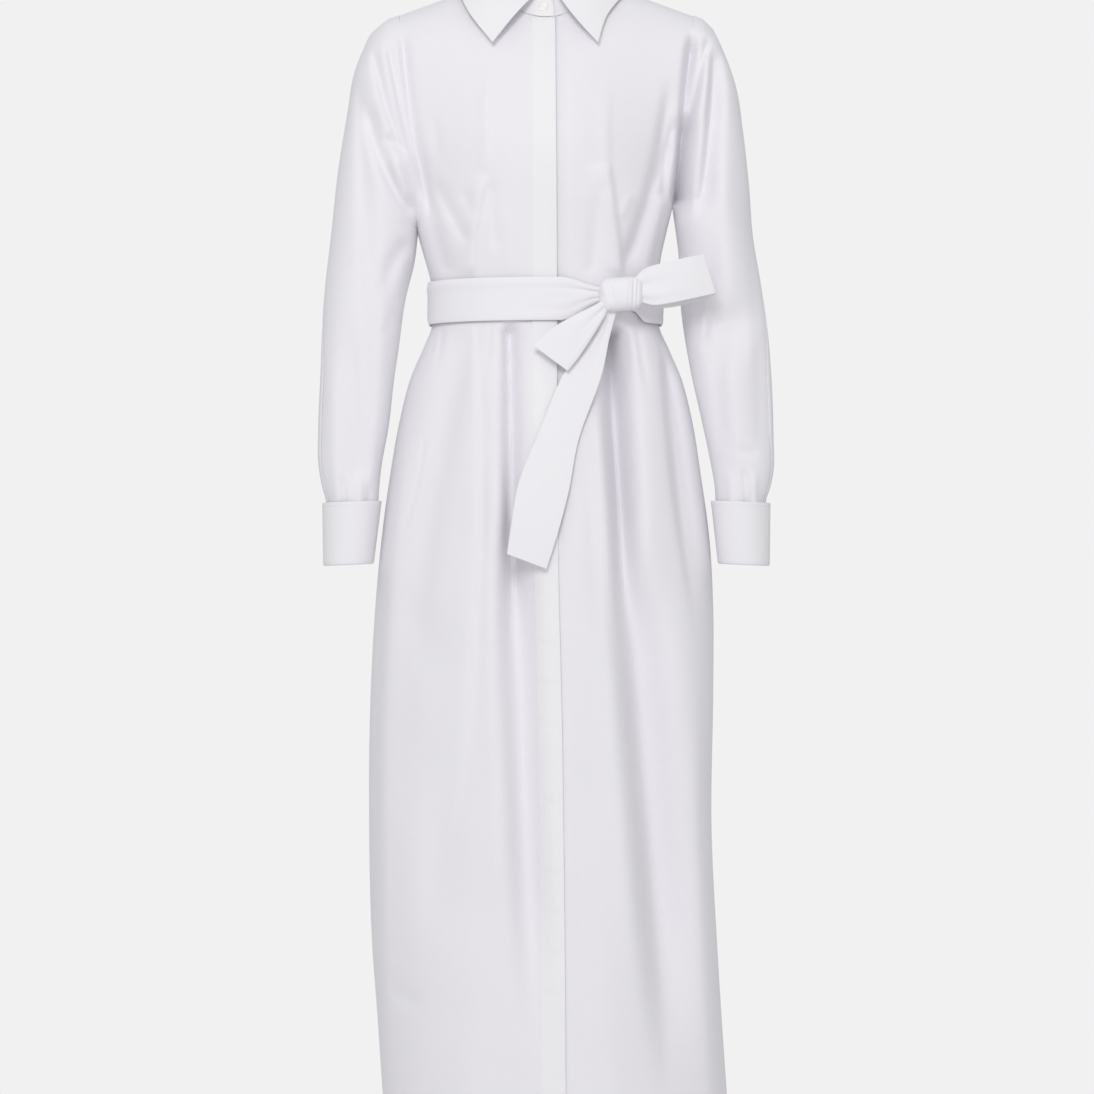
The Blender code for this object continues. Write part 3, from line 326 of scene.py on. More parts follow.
BODY_FOLDS = {
    FRONT: (
        # tucks above the belt, and the pulls beside them
        (-67, -95, -67, -170, -67, -232, 1.9, 9, 4, 50, 12),
        (-68, -226, -80, -285, -84, -362, 5.1, 14, 4, 30, 4),
        (-66, -239, -62, -275, -57, -325, -2.7, 4, 8, 15, 20),
        (-151, -190, -136, -262, -111, -352, -4.5, 9, 9, 30, 20),
        (-131, -230, -110, -273, -86, -318, -4.5, 7, 8, 22, 20),
        (-96, -248, -89, -264, -80, -282, -1.8, 5, 5, 10, 10),
        (-129, -158, -126, -187, -122, -216, -1.5, 6, 6, 20, 20),
        (-26, -130, -28, -184, -33, -245, -2.4, 14, 14, 40, 40),
        (-40, -270, -42, -310, -44, -356, 1.8, 8, 8, 30, 8),
        (72, -120, 71, -178, 71, -222, 1.9, 10, 4, 50, 6),
        (70.5, -216, 78, -275, 90.5, -364, 6.9, 16, 3.5, 14, 4),
        (66, -236, 59, -292, 52, -352, -2.7, 8, 8, 20, 10),
        (145, -112, 124.5, -235, 88, -345, -12, 7, 11, 60, 30),
        (142, -185, 135, -213, 125, -248, -3.6, 5, 7, 18, 18),
        (98, -253, 92, -269, 85, -284, 2.4, 5, 5, 10, 10),
        (142, -246, 130, -293, 113, -350, 3.6, 7, 7, 20, 10),
        (144, -262, 136, -297, 128, -345, -7, 5, 5, 15, 10),
        # pleats below the belt
        (-86, -392, -80, -585, -118, -1060, 4.8, 22, 4.5, 4, 300),
        (-84, -400, -118, -540, -150, -860, -8.1, 22, 16, 30, 260),
        (-100, -860, -120, -1000, -140, -1180, -5.4, 20, 26, 140, 140),
        (-43, -392, -40.5, -560, -39, -800, -24, 6.5, 11, 4, 160),
        (-36, -600, -27, -900, -4, -1300, -30, 18, 22, 120, 300),
        (-54, -520, -53, -760, -34, -1200, 6, 18, 11, 100, 300),
        (-62, -430, -60, -640, -70, -950, 4.1, 12, 12, 60, 260),
        (-8, -420, -6, -600, -4, -760, 2.2, 14, 16, 60, 140),
        (70, -392, 85, -620, 96, -800, -52, 10, 15, 6, 180),
        (59, -490, 70, -620, 82, -800, 10, 12, 7.5, 60, 180),
        (91, -640, 119.5, -990, 149, -1330, -48, 18, 34, 160, 300),
        (74, -700, 98, -990, 130, -1330, 10, 22, 14, 160, 300),
        (106, -396, 118, -600, 132, -800, 7, 12, 20, 6, 250),
        (129, -396, 142, -590, 172, -760, 6, 20, 4, 6, 160),
        (140, -430, 154, -600, 180, -780, -15, 6, 20, 30, 220),
        (36, -440, 40, -620, 50, -860, 3.6, 16, 12, 60, 220),
        # small gathers that come out from under the belt
        (-130, -398, -131, -420, -135, -446, -2.4, 3, 3.5, 4, 26),
        (-120, -398, -122, -425, -129, -462, -2.6, 3, 4, 4, 40),
        (-64, -398, -65, -430, -69, -470, -1.8, 4, 4, 4, 40),
        (-25, -398, -25, -425, -23, -460, -1.6, 4, 4, 4, 40),
        (104, -396, 110, -440, 120, -500, -4, 4, 6, 4, 60),
        (90, -396, 93, -430, 99, -480, -2.6, 4, 5, 4, 50),
        (-140, -525, -147, -580, -168, -652, -1.4, 2, 3, 20, 20),
        # slack further down
        (-168, -700, -140, -760, -112, -850, -3, 20, 26, 60, 80),
        (-180, -930, -150, -1040, -108, -1220, 3, 30, 30, 100, 120),
        (-190, -1168, -160, -1184, -128, -1196, -2.4, 10, 12, 20, 30),
        (60, -900, 70, -1120, 84, -1421, 4.9, 24, 26, 150, 50),
        (-72, -1060, -84, -1240, -96, -1460, 4.1, 26, 26, 120, 10),
        (176, -760, 190, -1080, 204, -1440, 9, 22, 12, 200, 30),
        (-172, -500, -190, -900, -202, -1440, 7, 10, 18, 100, 30),
    ),
    BACK: (
        (-72, -90, -74, -190, -76, -262, 2.1, 4, 10, 60, 10),
        (-75, -246, -78, -300, -84, -364, 6, 4, 16, 16, 4),
        (72, -95, 74, -190, 76, -255, 2.1, 10, 4, 60, 10),
        (75, -240, 78, -300, 84, -364, 6, 16, 4, 16, 4),
        (-138, -185, -124, -262, -100, -340, -5.4, 8, 10, 30, 20),
        (135, -175, 122, -250, 104, -345, -5.4, 10, 8, 30, 20),
        (-20, -225, -24, -290, -28, -358, 2.4, 12, 12, 40, 6),
        (30, -235, 31, -295, 34, -358, 2.1, 12, 10, 40, 6),
        (-60, -30, -20, -46, 55, -34, -2.1, 10, 14, 30, 30),
        (-80, -392, -86, -620, -104, -1000, 6.8, 4.5, 22, 4, 280),
        (-94, -404, -112, -640, -130, -1020, -9.5, 18, 14, 30, 300),
        (-38, -396, -42, -650, -50, -1050, -6.5, 12, 18, 10, 300),
        (-10, -420, -12, -700, -10, -1150, 5.4, 18, 18, 80, 300),
        (36, -396, 40, -650, 52, -1080, -7, 18, 12, 10, 300),
        (82, -392, 88, -600, 110, -960, 6.8, 22, 4.5, 4, 280),
        (96, -404, 116, -660, 140, -1100, -9.5, 14, 18, 30, 300),
        (132, -410, 150, -600, 172, -850, -5.4, 12, 12, 20, 200),
        (-134, -410, -150, -580, -176, -820, -5.1, 12, 12, 20, 200),
        (-80, -900, -74, -1150, -80, -1450, 5.4, 26, 24, 200, 10),
        (16, -950, 24, -1180, 20, -1450, -6.2, 26, 28, 200, 10),
        (104, -950, 98, -1200, 112, -1450, 4.9, 24, 26, 200, 10),
        (-168, -900, -150, -1120, -150, -1440, -4.6, 18, 20, 200, 10),
    ),
}
SLEEVE_FOLDS = {
    FRONT: (
        (-217, -105, -213, -203, -203, -400, -5.4, 8, 12, 40, 80),
        (-179, -199, -167, -240, -157, -285, 4.8, 8, 8, 25, 30),
        (-172, -378, -163, -349, -157, -318, -3.8, 5, 5, 16, 16),
        (-157, -300, -178, -330, -187, -385, -7, 9, 10, 15, 50),
        (-192, -418, -184, -405, -180, -388, -1.9, 5, 5, 8, 10),
        (-228, -380, -224, -480, -219, -600, -4.8, 13, 10, 80, 30),
        (-188, -340, -193, -480, -206, -605, 3.8, 8, 11, 60, 30),
        (-246, -430, -247, -520, -240, -615, 2.6, 8, 8, 60, 10),
        (-237, -575, -235, -595, -233, -622, -3.2, 4, 4, 16, 2),
        (-218, -570, -217, -592, -217, -622, 2.6, 5, 5, 20, 2),
        (-206, -585, -207, -600, -208, -622, -2.6, 4, 4, 14, 2),
        (236, -230, 247, -400, 252, -572, -4.2, 10, 12, 80, 60),
        (205, -190, 214, -374, 224, -584, 3.5, 11, 12, 60, 60),
        (170, -409, 208, -404, 252, -410, -17, 40, 26, 40, 40),
        (191, -345, 187, -385, 182, -430, 4, 5, 6, 20, 20),
        (190, -290, 196, -420, 208, -560, -3.2, 8, 9, 60, 60),
        (229, -565, 232, -585, 234, -620, -3.5, 4, 5, 16, 2),
        (243, -572, 243, -590, 244, -620, 2.9, 5, 4, 16, 2),
        (214, -570, 216, -592, 218, -620, 2.6, 5, 5, 16, 2),
        (222, -545, 236, -552, 250, -548, -1.9, 5, 6, 10, 10),
    ),
    BACK: (
        (-220, -110, -214, -230, -208, -400, -5.4, 10, 10, 40, 80),
        (-190, -330, -198, -460, -212, -600, -4.2, 10, 10, 60, 30),
        (-236, -320, -238, -450, -234, -600, 3.8, 10, 10, 60, 30),
        (-186, -400, -202, -392, -218, -398, -2.6, 6, 8, 12, 14),
        (-226, -560, -226, -590, -226, -624, -3.5, 5, 5, 20, 2),
        (-242, -575, -241, -595, -240, -624, -2.9, 4, 4, 16, 2),
        (220, -110, 216, -230, 212, -400, -5.4, 10, 10, 40, 80),
        (192, -330, 201, -460, 216, -600, -4.2, 10, 10, 60, 30),
        (238, -320, 241, -450, 238, -600, 3.8, 10, 10, 60, 30),
        (186, -390, 202, -384, 220, -392, -2.6, 6, 8, 12, 14),
        (230, -560, 230, -590, 230, -624, -3.5, 5, 5, 20, 2),
        (246, -575, 245, -595, 244, -624, -2.9, 4, 4, 16, 2),
    ),
}
FOLD_STEPS, FOLD_ROUNDS = 40, 3      # places first tried along a line, and how often they are bettered
FOLD_ROOM = 3.0                      # a fold is worked out as far as this many widths from its line
SEAM_FADE_DEPTH = 0.012      # folds on a sleeve die away this near the plane of its seams


def between(ends, share):
    """From the first of two ends, at share 0, to the second, at share 1."""
    return ends[0] + (ends[1] - ends[0]) * share


def smooth_step(t):
    """0 below 0, 1 above 1, and a soft S between."""
    t = np.clip(t, 0.0, 1.0)
    return t * t * (3.0 - 2.0 * t)


def quarter_round(t):
    """The height of a quarter circle: 0 at 0 with an upright start, 1 from 1 on."""
    t = np.clip(t, 0.0, 1.0)
    return np.sqrt(t * (2.0 - t))


def fold_relief(x, z, folds):
    """Height of all the folds. A fold's line is a parabola through its three places. Across the
    line its height falls off as exp(-(distance / width)^2), with its own width on each side."""
    relief = np.zeros_like(x)
    t = np.linspace(0.0, 1.0, FOLD_STEPS)
    for fold in folds:
        x1, z1, x2, z2, x3, z3, height, right, left, top, low = np.array(fold) / MM
        near = math.hypot(x2 - x1, z2 - z1)
        middle = near / (near + math.hypot(x3 - x2, z3 - z2))
        bend = middle * (middle - 1.0)
        bend_x = (x2 - x1 - (x3 - x1) * middle) / bend
        bend_z = (z2 - z1 - (z3 - z1) * middle) / bend
        line_x = x1 + (x3 - x1) * t + bend_x * t * (t - 1.0)
        line_z = z1 + (z3 - z1) * t + bend_z * t * (t - 1.0)
        speed = np.hypot(np.gradient(line_x, t), np.gradient(line_z, t))
        run = np.concatenate(([0.0], np.cumsum((speed[1:] + speed[:-1]) / 2 / (FOLD_STEPS - 1))))
        room = FOLD_ROOM * max(right, left)
        inside = (x > line_x.min() - room) & (x < line_x.max() + room)
        inside &= (z > line_z.min() - room) & (z < line_z.max() + room)
        px, pz = x[inside], z[inside]
        apart = (px[:, None] - line_x) ** 2 + (pz[:, None] - line_z) ** 2
        at = t[np.argmin(apart, axis=1)]
        for _ in range(FOLD_ROUNDS):
            from_x = px - (x1 + (x3 - x1) * at + bend_x * at * (at - 1.0))
            from_z = pz - (z1 + (z3 - z1) * at + bend_z * at * (at - 1.0))
            going_x = x3 - x1 + bend_x * (2.0 * at - 1.0)
            going_z = z3 - z1 + bend_z * (2.0 * at - 1.0)
            going = np.hypot(going_x, going_z)
            across = (going_x * from_z - going_z * from_x) / going
            ahead = going_x * from_x + going_z * from_z
            at = np.clip(at + ahead / going ** 2, -0.5, 1.5)
        along = np.interp(at, t, run) + np.minimum(at, 0.0) * speed[0]
        along += np.maximum(at - 1.0, 0.0) * speed[-1]
        width = np.where(across < 0.0, right, left)
        fade = smooth_step(along / top) * smooth_step((run[-1] - along) / low)
        relief[inside] += height * fade * np.exp(-((across / width) ** 2))
    return relief


def slack(x, z):
    """The cloth's soft unevenness: four long waves of about half a millimetre each."""
    waves = (
        # height, along x, along z, start
        (0.00055, 41.0, 11.0, 0.4),
        (0.00045, -27.0, 23.0, 1.9),
        (0.00035, 63.0, -17.0, 4.1),
        (0.00030, 18.0, 47.0, 2.6),
    )
    return sum(height * np.sin(a * x + b * z + start) for height, a, b, start in waves)


def outline(z):
    """The body's middle and half width at each height."""
    right, left = read(BODY, "right", z), read(BODY, "left", z)
    return (right + left) / 2.0, (left - right) / 2.0


def top_edge(x, face):
    """Height and depth of a panel's top edge: the neck seam, and the shoulder seam outside it."""
    beside = np.abs(x)
    inside = np.clip(1.0 - (beside / NECK_HALF_WIDTH) ** 2, 0.0, 1.0)
    shoulder_z = -SHOULDER_SLOPE * (beside - NECK_HALF_WIDTH)
    z = np.where(beside < NECK_HALF_WIDTH, -NECK_DROP[face] * inside, shoulder_z)
    return z, NECK_REACH[face] * np.sqrt(inside)


def belt_press(z):
    """1 where the belt lies, falling to 0 just above and below it."""
    above = smooth_step((z - BELT_TOP_Z) / BELT_PRESS_FADE)
    below = smooth_step((BELT_LOW_Z - z) / BELT_PRESS_FADE)
    return 1.0 - np.maximum(above, below)


def crease_share(x, z):
    """How far above the armpit a place is, from 0 to 1 at ARMHOLE_RISE."""
    armpit = np.where(x < outline(z)[0], ARMPIT_Z[RIGHT], ARMPIT_Z[LEFT])
    return np.clip((z - armpit) / ARMHOLE_RISE, 0.0, 1.0)


def plain_depth(x, z, face):
    """How far the body's cloth stands off the plane of the seams, without folds.

    A level section is the part of an ellipse between the middle and the outline. Above the armpits
    it ends at the armhole's own depth, and below them at the side seam. Towards the neck and
    shoulder seams a quarter circle brings it in to the seam.
    """
    middle, half = outline(z)
    across = np.clip(np.abs(x - middle) / half, 0.0, 1.0)
    above = crease_share(x, z)
    armhole = ARMHOLE_DEPTH * quarter_round(above)
    fullness = 1.0 - CREASE_FLATNESS * smooth_step(above)
    flat = np.sqrt(1.0 - fullness ** 2)
    arc = (np.sqrt(1.0 - (fullness * across) ** 2) - flat) / (1.0 - flat)
    reach = read(BODY, REACH[face], z)
    section = np.sqrt((reach ** 2 - armhole ** 2) * arc ** 2 + armhole ** 2)
    seam_z, seam_depth = top_edge(x, face)
    round_in = quarter_round((seam_z - z) / SHOULDER_ROUND)
    return seam_depth + (section - seam_depth) * round_in


def seam_fade(x, z, face):
    """Folds die away at the seams: 0 on a seam, 1 from a short way off."""
    middle, half = outline(z)
    across = np.clip(np.abs(x - middle) / half, 0.0, 1.0)
    sides = smooth_step((1.0 - across) / FOLD_SIDE_FADE)
    sides = np.maximum(sides, smooth_step(crease_share(x, z) / FOLD_CREASE_FADE))
    return sides * smooth_step((top_edge(x, face)[0] - z) / FOLD_TOP_FADE)


def body_depth(x, z, face):
    """The plain form with its folds, which the belt presses flat."""
    relief = (fold_relief(x, z, BODY_FOLDS[face]) + slack(x, z + face)) * (1.0 - belt_press(z))
    return plain_depth(x, z, face) + relief * seam_fade(x, z, face)


def edge_x(face, edge_offsets, z):
    """x of the first columns at each height: along a front's edge, or the middle of the back."""
    if face == BACK:
        return outline(z)[0][:, None]
    return read(FRONT_EDGE, "x", z)[:, None] + np.array(edge_offsets)[None, :]


def top_shares():
    """How far down each upper row lies: mostly (1 - cos) / 2, so closer together at both ends."""
    even = np.linspace(0.0, 1.0, UPPER_ROWS + 1)
    return EVEN_ROWS * even + (1.0 - EVEN_ROWS) * (1.0 - np.cos(math.pi * even)) / 2.0


def body_places(side, face, edge_offsets, shoulder_columns=SHOULDER_COLUMNS):
    """Places (x, z) of a body grid: rows from the top seams to the hem, columns out to the side.

    edge_offsets places a front's first columns from its edge. After them the neck's columns end at
    the neck point, and the rest run from the shoulder seam, evenly by angle round the ellipse.
    """
    first = max(len(edge_offsets) - 1, 0)
    corner = first + NECK_COLUMNS
    column = np.arange(corner + shoulder_columns + 1)
    spread = np.clip((column - first) / (column[-1] - first), 0.0, 1.0)
    top_x = side * edge_x(face, edge_offsets, np.array([-NECK_DROP[face]]))[0]
    start = math.asin(top_x[-1] / NECK_HALF_WIDTH)
    turn = np.clip((column[first + 1:] - first) / NECK_COLUMNS, 0.0, 1.0)
    turn = start + (math.pi / 2 - start) * turn
    along = np.clip((column[first + 1:] - corner) / shoulder_columns, 0.0, 1.0)
    shoulder = abs(outline(SHOULDER_Z)[0] + side * outline(SHOULDER_Z)[1]) - NECK_HALF_WIDTH
    beyond = NECK_HALF_WIDTH * np.sin(turn) + shoulder * np.sin(along * math.pi / 2)
    top_x = side * np.concatenate((top_x, beyond))
    top_z, _ = top_edge(top_x, face)
    share = top_shares()[:, None]
    armpit_row = ARMPIT_ROW_Z + (ARMPIT_Z[side] - ARMPIT_ROW_Z) * spread ** 2
    upper = top_z + (armpit_row - top_z) * share
    down = np.linspace(0.0, 1.0, LEVEL_ROWS + 1)[1:, None]
    level = armpit_row + (LEVEL_Z - armpit_row) * down
    low = np.repeat(np.linspace(LEVEL_Z, HEM_Z, LOW_ROWS + 1)[1:, None], len(column), axis=1)
    z = np.concatenate((upper, level, low))
    middle, half = outline(z)
    edges = edge_x(face, edge_offsets, z[:, 0])
    above = np.clip((z[:, -1:] - ARMPIT_Z[side]) / ARMHOLE_RISE, 0.0, 1.0)
    widest = np.arcsin(1.0 - CREASE_FLATNESS * smooth_step(above))
    start = np.arcsin(side * (edges[:, -1:] - middle[:, -1:]) / half[:, -1:] * np.sin(widest))
    x = middle + side * half * np.sin(start + (widest - start) * spread) / np.sin(widest)
    x[:, : first + 1] = edges
    settle = np.zeros((len(z), 1))
    settle[: UPPER_ROWS + 1] = (1.0 - share) ** 2
    return x + (top_x - x[0]) * settle, z


def body_grid(side, face, edge_offsets=(), shoulder_columns=SHOULDER_COLUMNS):
    """Points of a body panel: rows by columns by (x, y, z)."""
    x, z = body_places(side, face, edge_offsets, shoulder_columns)
    away = body_depth(x, z, face)
    if face == FRONT and side == LEFT:
        edge = read(FRONT_EDGE, "x", z)
        low = smooth_step((UNDERLAP_LOW_Z - z) / UNDERLAP_LOW_RUN)
        reach = between(UNDERLAP_FADE, low)
        away -= between(UNDERLAP_PUSH, low) * smooth_step((edge + reach - x) / reach)
    return np.stack((x, face * (away + SEAM_GAP / 2), z), axis=-1)


def sleeve_grid(side, face, crease, columns=SLEEVE_COLUMNS):
    """Points of half a sleeve. Its first column is the body's crease, then the inner outline.

    Each row is part of an ellipse, from the inner outline to the overarm seam. Above the armpit it
    starts where the ellipse is as deep as the crease. Down the arm the seam turns to the front.
    """
    outer = SLEEVE_OUTER[side]
    share = top_shares()
    corner_x = SLEEVE_CORNER_X[side]
    corner_z = np.interp(side * corner_x, side * outer["x"][::-1], outer["z"][::-1])
    low = np.linspace(ARMPIT_Z[side], SLEEVE_END_Z[side], SLEEVE_ROWS + 1)[1:]
    inner_z = np.concatenate((crease[:, 2], low))
    outer_z = np.concatenate((corner_z + (ARMPIT_Z[side] - corner_z) * share, low))
    inner_x = np.concatenate((crease[:, 0], read(SLEEVE_INNER[side], "x", low)))
    outer_x = read(outer, "x", outer_z)
    outer_x[0] = corner_x
    at_crease = np.concatenate((crease_depth(side, crease[:, 2]), np.zeros(len(low))))
    reach = read(SLEEVE_DEPTH, REACH[face], (inner_z + outer_z) / 2.0)
    reach = reach * quarter_round((inner_z[0] - inner_z) / SHOULDER_ROUND)
    reach = np.maximum(reach, at_crease * CREASE_MARGIN)
    ratio = at_crease / np.maximum(reach, 1e-6)
    ratio[0] = ratio[1]
    start = np.arcsin(np.clip(ratio, 0.0, 1.0))[:, None]
    turned = smooth_step((SEAM_TURN_Z[0] - outer_z) / (SEAM_TURN_Z[0] - SEAM_TURN_Z[1]))
    end = math.pi + face * math.radians(SEAM_TURN) * turned[:, None]
    angle = start + (end - start) * np.linspace(0.0, 1.0, columns + 1)
    across = (np.cos(start) - np.cos(angle)) / (1.0 + np.cos(start))
    x = inner_x[:, None] + (outer_x - inner_x)[:, None] * across
    z = inner_z[:, None] + (outer_z - inner_z)[:, None] * across
    bow = np.zeros((len(inner_z), 1))
    bow[: UPPER_ROWS + 1, 0] = (1.0 - share) ** 3
    seam_z = np.interp(side * x[0], side * outer["x"][::-1], outer["z"][::-1])
    z = z + (seam_z - z[0]) * bow
    away = reach[:, None] * np.sin(angle)
    relief = fold_relief(x, z, SLEEVE_FOLDS[face]) + slack(x, z + face)
    away = away + relief * smooth_step(away / SEAM_FADE_DEPTH)
    y = read(SLEEVE_DEPTH, "middle", z) + face * (away + SEAM_GAP / 2)
    grid = np.stack((x, y, z), axis=-1)
    grid[: UPPER_ROWS + 1, 0] = crease
    return grid


def crease_depth(side, z):
    """Depth of the crease between body and sleeve: the armhole's quarter circle, in to the shoulder."""
    above = np.clip((z - ARMPIT_Z[side]) / ARMHOLE_RISE, 0.0, 1.0)
    return ARMHOLE_DEPTH * quarter_round(above) * quarter_round((z[0] - z) / SHOULDER_ROUND)


SOFTEN_ROUNDS, SOFTEN_REACH = 14, 9
SOFTEN_TOP, SOFTEN_LOW = 4.0, 30.0           # rows over which it begins and ends


def soften_crease(body, sleeve):
    """Averages the depth across the crease between body and sleeve, above the armpit."""
    rows = UPPER_ROWS
    joined = np.concatenate((body[:rows, :, 1], sleeve[:rows, 1:, 1]), axis=1)
    crease = body.shape[1] - 1
    near = np.abs(np.arange(joined.shape[1]) - crease) / SOFTEN_REACH
    row = np.arange(rows)
    down = smooth_step((rows - row) / SOFTEN_LOW) * smooth_step(row / SOFTEN_TOP)
    weight = (down[:, None] * smooth_step(1.0 - near)[None, :])[:, 1:-1]
    for _ in range(SOFTEN_ROUNDS):
        mean = (joined[:, :-2] + 2.0 * joined[:, 1:-1] + joined[:, 2:]) / 4.0
        joined[:, 1:-1] += (mean - joined[:, 1:-1]) * weight
    body[:rows, :, 1] = joined[:, : crease + 1]
    sleeve[:rows, 0, 1] = joined[:, crease]
    sleeve[:rows, 1:, 1] = joined[:, crease + 1:]


def run_lengths(grid):
    """Distance run along the cloth from the first column and from the first row, in metres."""
    across = np.linalg.norm(np.diff(grid, axis=1), axis=2)
    down = np.linalg.norm(np.diff(grid, axis=0), axis=2)
    u = np.concatenate((np.zeros((len(grid), 1)), np.cumsum(across, axis=1)), axis=1)
    v = np.concatenate((np.zeros((1, grid.shape[1])), np.cumsum(down, axis=0)))
    return np.stack((u, v), axis=-1)


def grid_faces(rows, columns, flip):
    """Four corners of each cell of a grid. flip turns the faces over."""
    corner = (np.arange(rows - 1)[:, None] * columns + np.arange(columns - 1)).ravel()
    order = (0, columns, columns + 1, 1)
    return corner[:, None] + np.array(order[::-1] if flip else order)


def new_piece(name, points, faces, finish, corners=None):
    """A smooth mesh of points and faces with a finish. corners gives the width and length in metres
    at each corner of the faces, for the UV map."""
    data = bpy.data.meshes.new(name)
    data.from_pydata(points.reshape(-1, 3).tolist(), [], faces)
    if corners is not None:
        uv = data.uv_layers.new(name="cloth_metres")
        uv.data.foreach_set("uv", corners.ravel())
    data.shade_smooth()
    made = bpy.data.objects.new(name, data)
    scene.collection.objects.link(made)
    data.materials.append(finish)
    return made


WELD_REACH, BEVEL_ANGLE = 0.00002, 50.0


def cloth(name, grids, thickness, finish, weld=True, bevel=0.0):
    """A piece of cloth: grids of points with UV in metres, welded where they meet. Solidify gives it
    its thickness inwards, and a bevel rounds its edges."""
    points, faces, lengths = [], [], []
    first = 0
    for grid, flip in grids:
        rows, columns = grid.shape[:2]
        points.append(grid.reshape(-1, 3))
        faces.append(grid_faces(rows, columns, flip) + first)
        lengths.append(run_lengths(grid).reshape(-1, 2))
        first += rows * columns
    points, faces, lengths = map(np.concatenate, (points, faces, lengths))
    made = new_piece(name, points, faces.tolist(), finish, lengths[faces.ravel()])
    if weld:
        mesh = bmesh.new()
        mesh.from_mesh(made.data)
        bmesh.ops.remove_doubles(mesh, verts=mesh.verts, dist=WELD_REACH)
        mesh.to_mesh(made.data)
        mesh.free()
    wall = made.modifiers.new("thickness", "SOLIDIFY")
    wall.thickness = thickness
    wall.offset = -1.0
    wall.use_even_offset = False
    if bevel:
        rounding = made.modifiers.new("edge", "BEVEL")
        rounding.width = bevel
        rounding.segments = 2
        rounding.angle_limit = math.radians(BEVEL_ANGLE)
        rounding.harden_normals = False
    return made


def new_finish(name, settings):
    """A new material with some of its shader's sockets set: the material, the shader, its nodes and
    the place on the piece."""
    made = bpy.data.materials.new(name)
    made.use_nodes = True
    shader = made.node_tree.nodes["Principled BSDF"]
    for key, value in settings.items():
        shader.inputs[key].default_value = value
    tree = Value(made.node_tree)
    return made, shader, tree, tree.add("ShaderNodeTexCoord", None, None, 3)


def feed(shader, values):
    """Leads values to the shader's sockets."""
    for key, value in values.items():
        value.tree.links.new(value.socket, shader.inputs[key])


SLUB, CLOUD, CRUMPLE = (90.0, 4.0), (9.0, 3.0), (34.0, 2.0)      # how fine each noise is, its detail
TINT_LOW, TINT_HIGH, TINT_MOST = 0.975, 1.02, 0.93
ROUGHNESS_SPREAD = 0.12


def cloth_finish(name, colour, roughness, thread=0.0006, weave=0.00004, crumple=0.00012):
    """Plain weave: threads a fixed distance apart each way, whose height is the product of two
    sines, over a faint crumple. Colour and roughness wander slightly, as in washed cotton."""
    made, shader, tree, place = new_finish(name, {
        "Metallic": 0.0, "Sheen Weight": 0.05, "Sheen Roughness": 0.5, "Specular IOR Level": 0.10})
    along = tree.add("ShaderNodeUVMap", {"uv_map": "cloth_metres"})
    across = tree.add("ShaderNodeSeparateXYZ", None, {0: along}, 0)
    down = tree.add("ShaderNodeSeparateXYZ", None, {0: along}, 1)
    turns = math.tau / thread
    threads = (across * turns).math("SINE") * (down * turns).math("SINE")
    slub, cloud, crumples = (
        tree.add("ShaderNodeTexNoise", None, {"Vector": place, "Scale": scale, "Detail": detail})
        for scale, detail in (SLUB, CLOUD, CRUMPLE)
    )
    height = threads * weave + slub * (weave * 1.5) + crumples * crumple
    bump = tree.add("ShaderNodeBump", None, {"Height": height, "Strength": 1.0, "Distance": 1.0})
    low = tuple(c * TINT_LOW for c in colour) + (1.0,)
    high = tuple(min(c * TINT_HIGH, TINT_MOST) for c in colour) + (1.0,)
    tint = (slub * 0.5 + cloud * 0.5).mix(low, high)
    rough = slub * ROUGHNESS_SPREAD + (roughness - ROUGHNESS_SPREAD / 2)
    feed(shader, {"Base Color": tint, "Roughness": rough, "Normal": bump})
    return made


cotton = cloth_finish("cotton_plain_weave", CLOTH_WHITE, 0.90)


def panel_grids(side, face, edge_offsets=(), shoulder_columns=SHOULDER_COLUMNS,
                sleeve_columns=SLEEVE_COLUMNS):
    """The body grid of one side and its half sleeve. The crease between them is softened, and then
    the folds that cross it are added to both."""
    body = body_grid(side, face, edge_offsets, shoulder_columns)
    sleeve = sleeve_grid(side, face, body[: UPPER_ROWS + 1, -1], sleeve_columns)
    soften_crease(body, sleeve)
    for grid in (body, sleeve):
        relief = fold_relief(grid[..., 0], grid[..., 2], SHOULDER_FOLDS[face])
        grid[..., 1] += face * relief * smooth_step(np.abs(grid[..., 1]) / SEAM_FADE_DEPTH)
    return [(body, side * face < 0), (sleeve, side * face < 0)]


placket_offsets = np.linspace(0.0, -PLACKET_WIDTH, PLACKET_COLUMNS + 1)
right_grids = panel_grids(RIGHT, FRONT, placket_offsets)
front_right = cloth("front_right_cloth", right_grids, CLOTH_THICKNESS, cotton)
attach(front_right, "root")
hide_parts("front_right")

# ---- The left front, with the front of the left sleeve -----------------------------------------
# The same cloth and cut as the right front. Its edge runs under the placket, where hidden buttons
# hold it.

underlap_offsets = np.linspace(-UNDERLAP_WIDTH, 0.0, PLACKET_COLUMNS + 1)
left_grids = panel_grids(LEFT, FRONT, underlap_offsets)
front_left = cloth("front_left_cloth", left_grids, CLOTH_THICKNESS, cotton)
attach(front_left, "root")
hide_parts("front_left")

# ---- The back, with the backs of both sleeves --------------------------------------------------
# One panel of the same cloth, sewn to the fronts all round. It has pleats at the waist like theirs.

BACK_COLUMNS, BACK_SLEEVE_COLUMNS = 26, 22
back_grids = panel_grids(RIGHT, BACK, (), BACK_COLUMNS, BACK_SLEEVE_COLUMNS)
back_grids += panel_grids(LEFT, BACK, (), BACK_COLUMNS, BACK_SLEEVE_COLUMNS)
back = cloth("back_cloth", back_grids, CLOTH_THICKNESS, cotton)
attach(back, "root")
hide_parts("back")

# ---- The placket -------------------------------------------------------------------------------
# A folded strip of the same cloth that hides the buttons. It lies on the right front's edge, sewn
# along its inner side. It is puckered where a hidden button pulls.

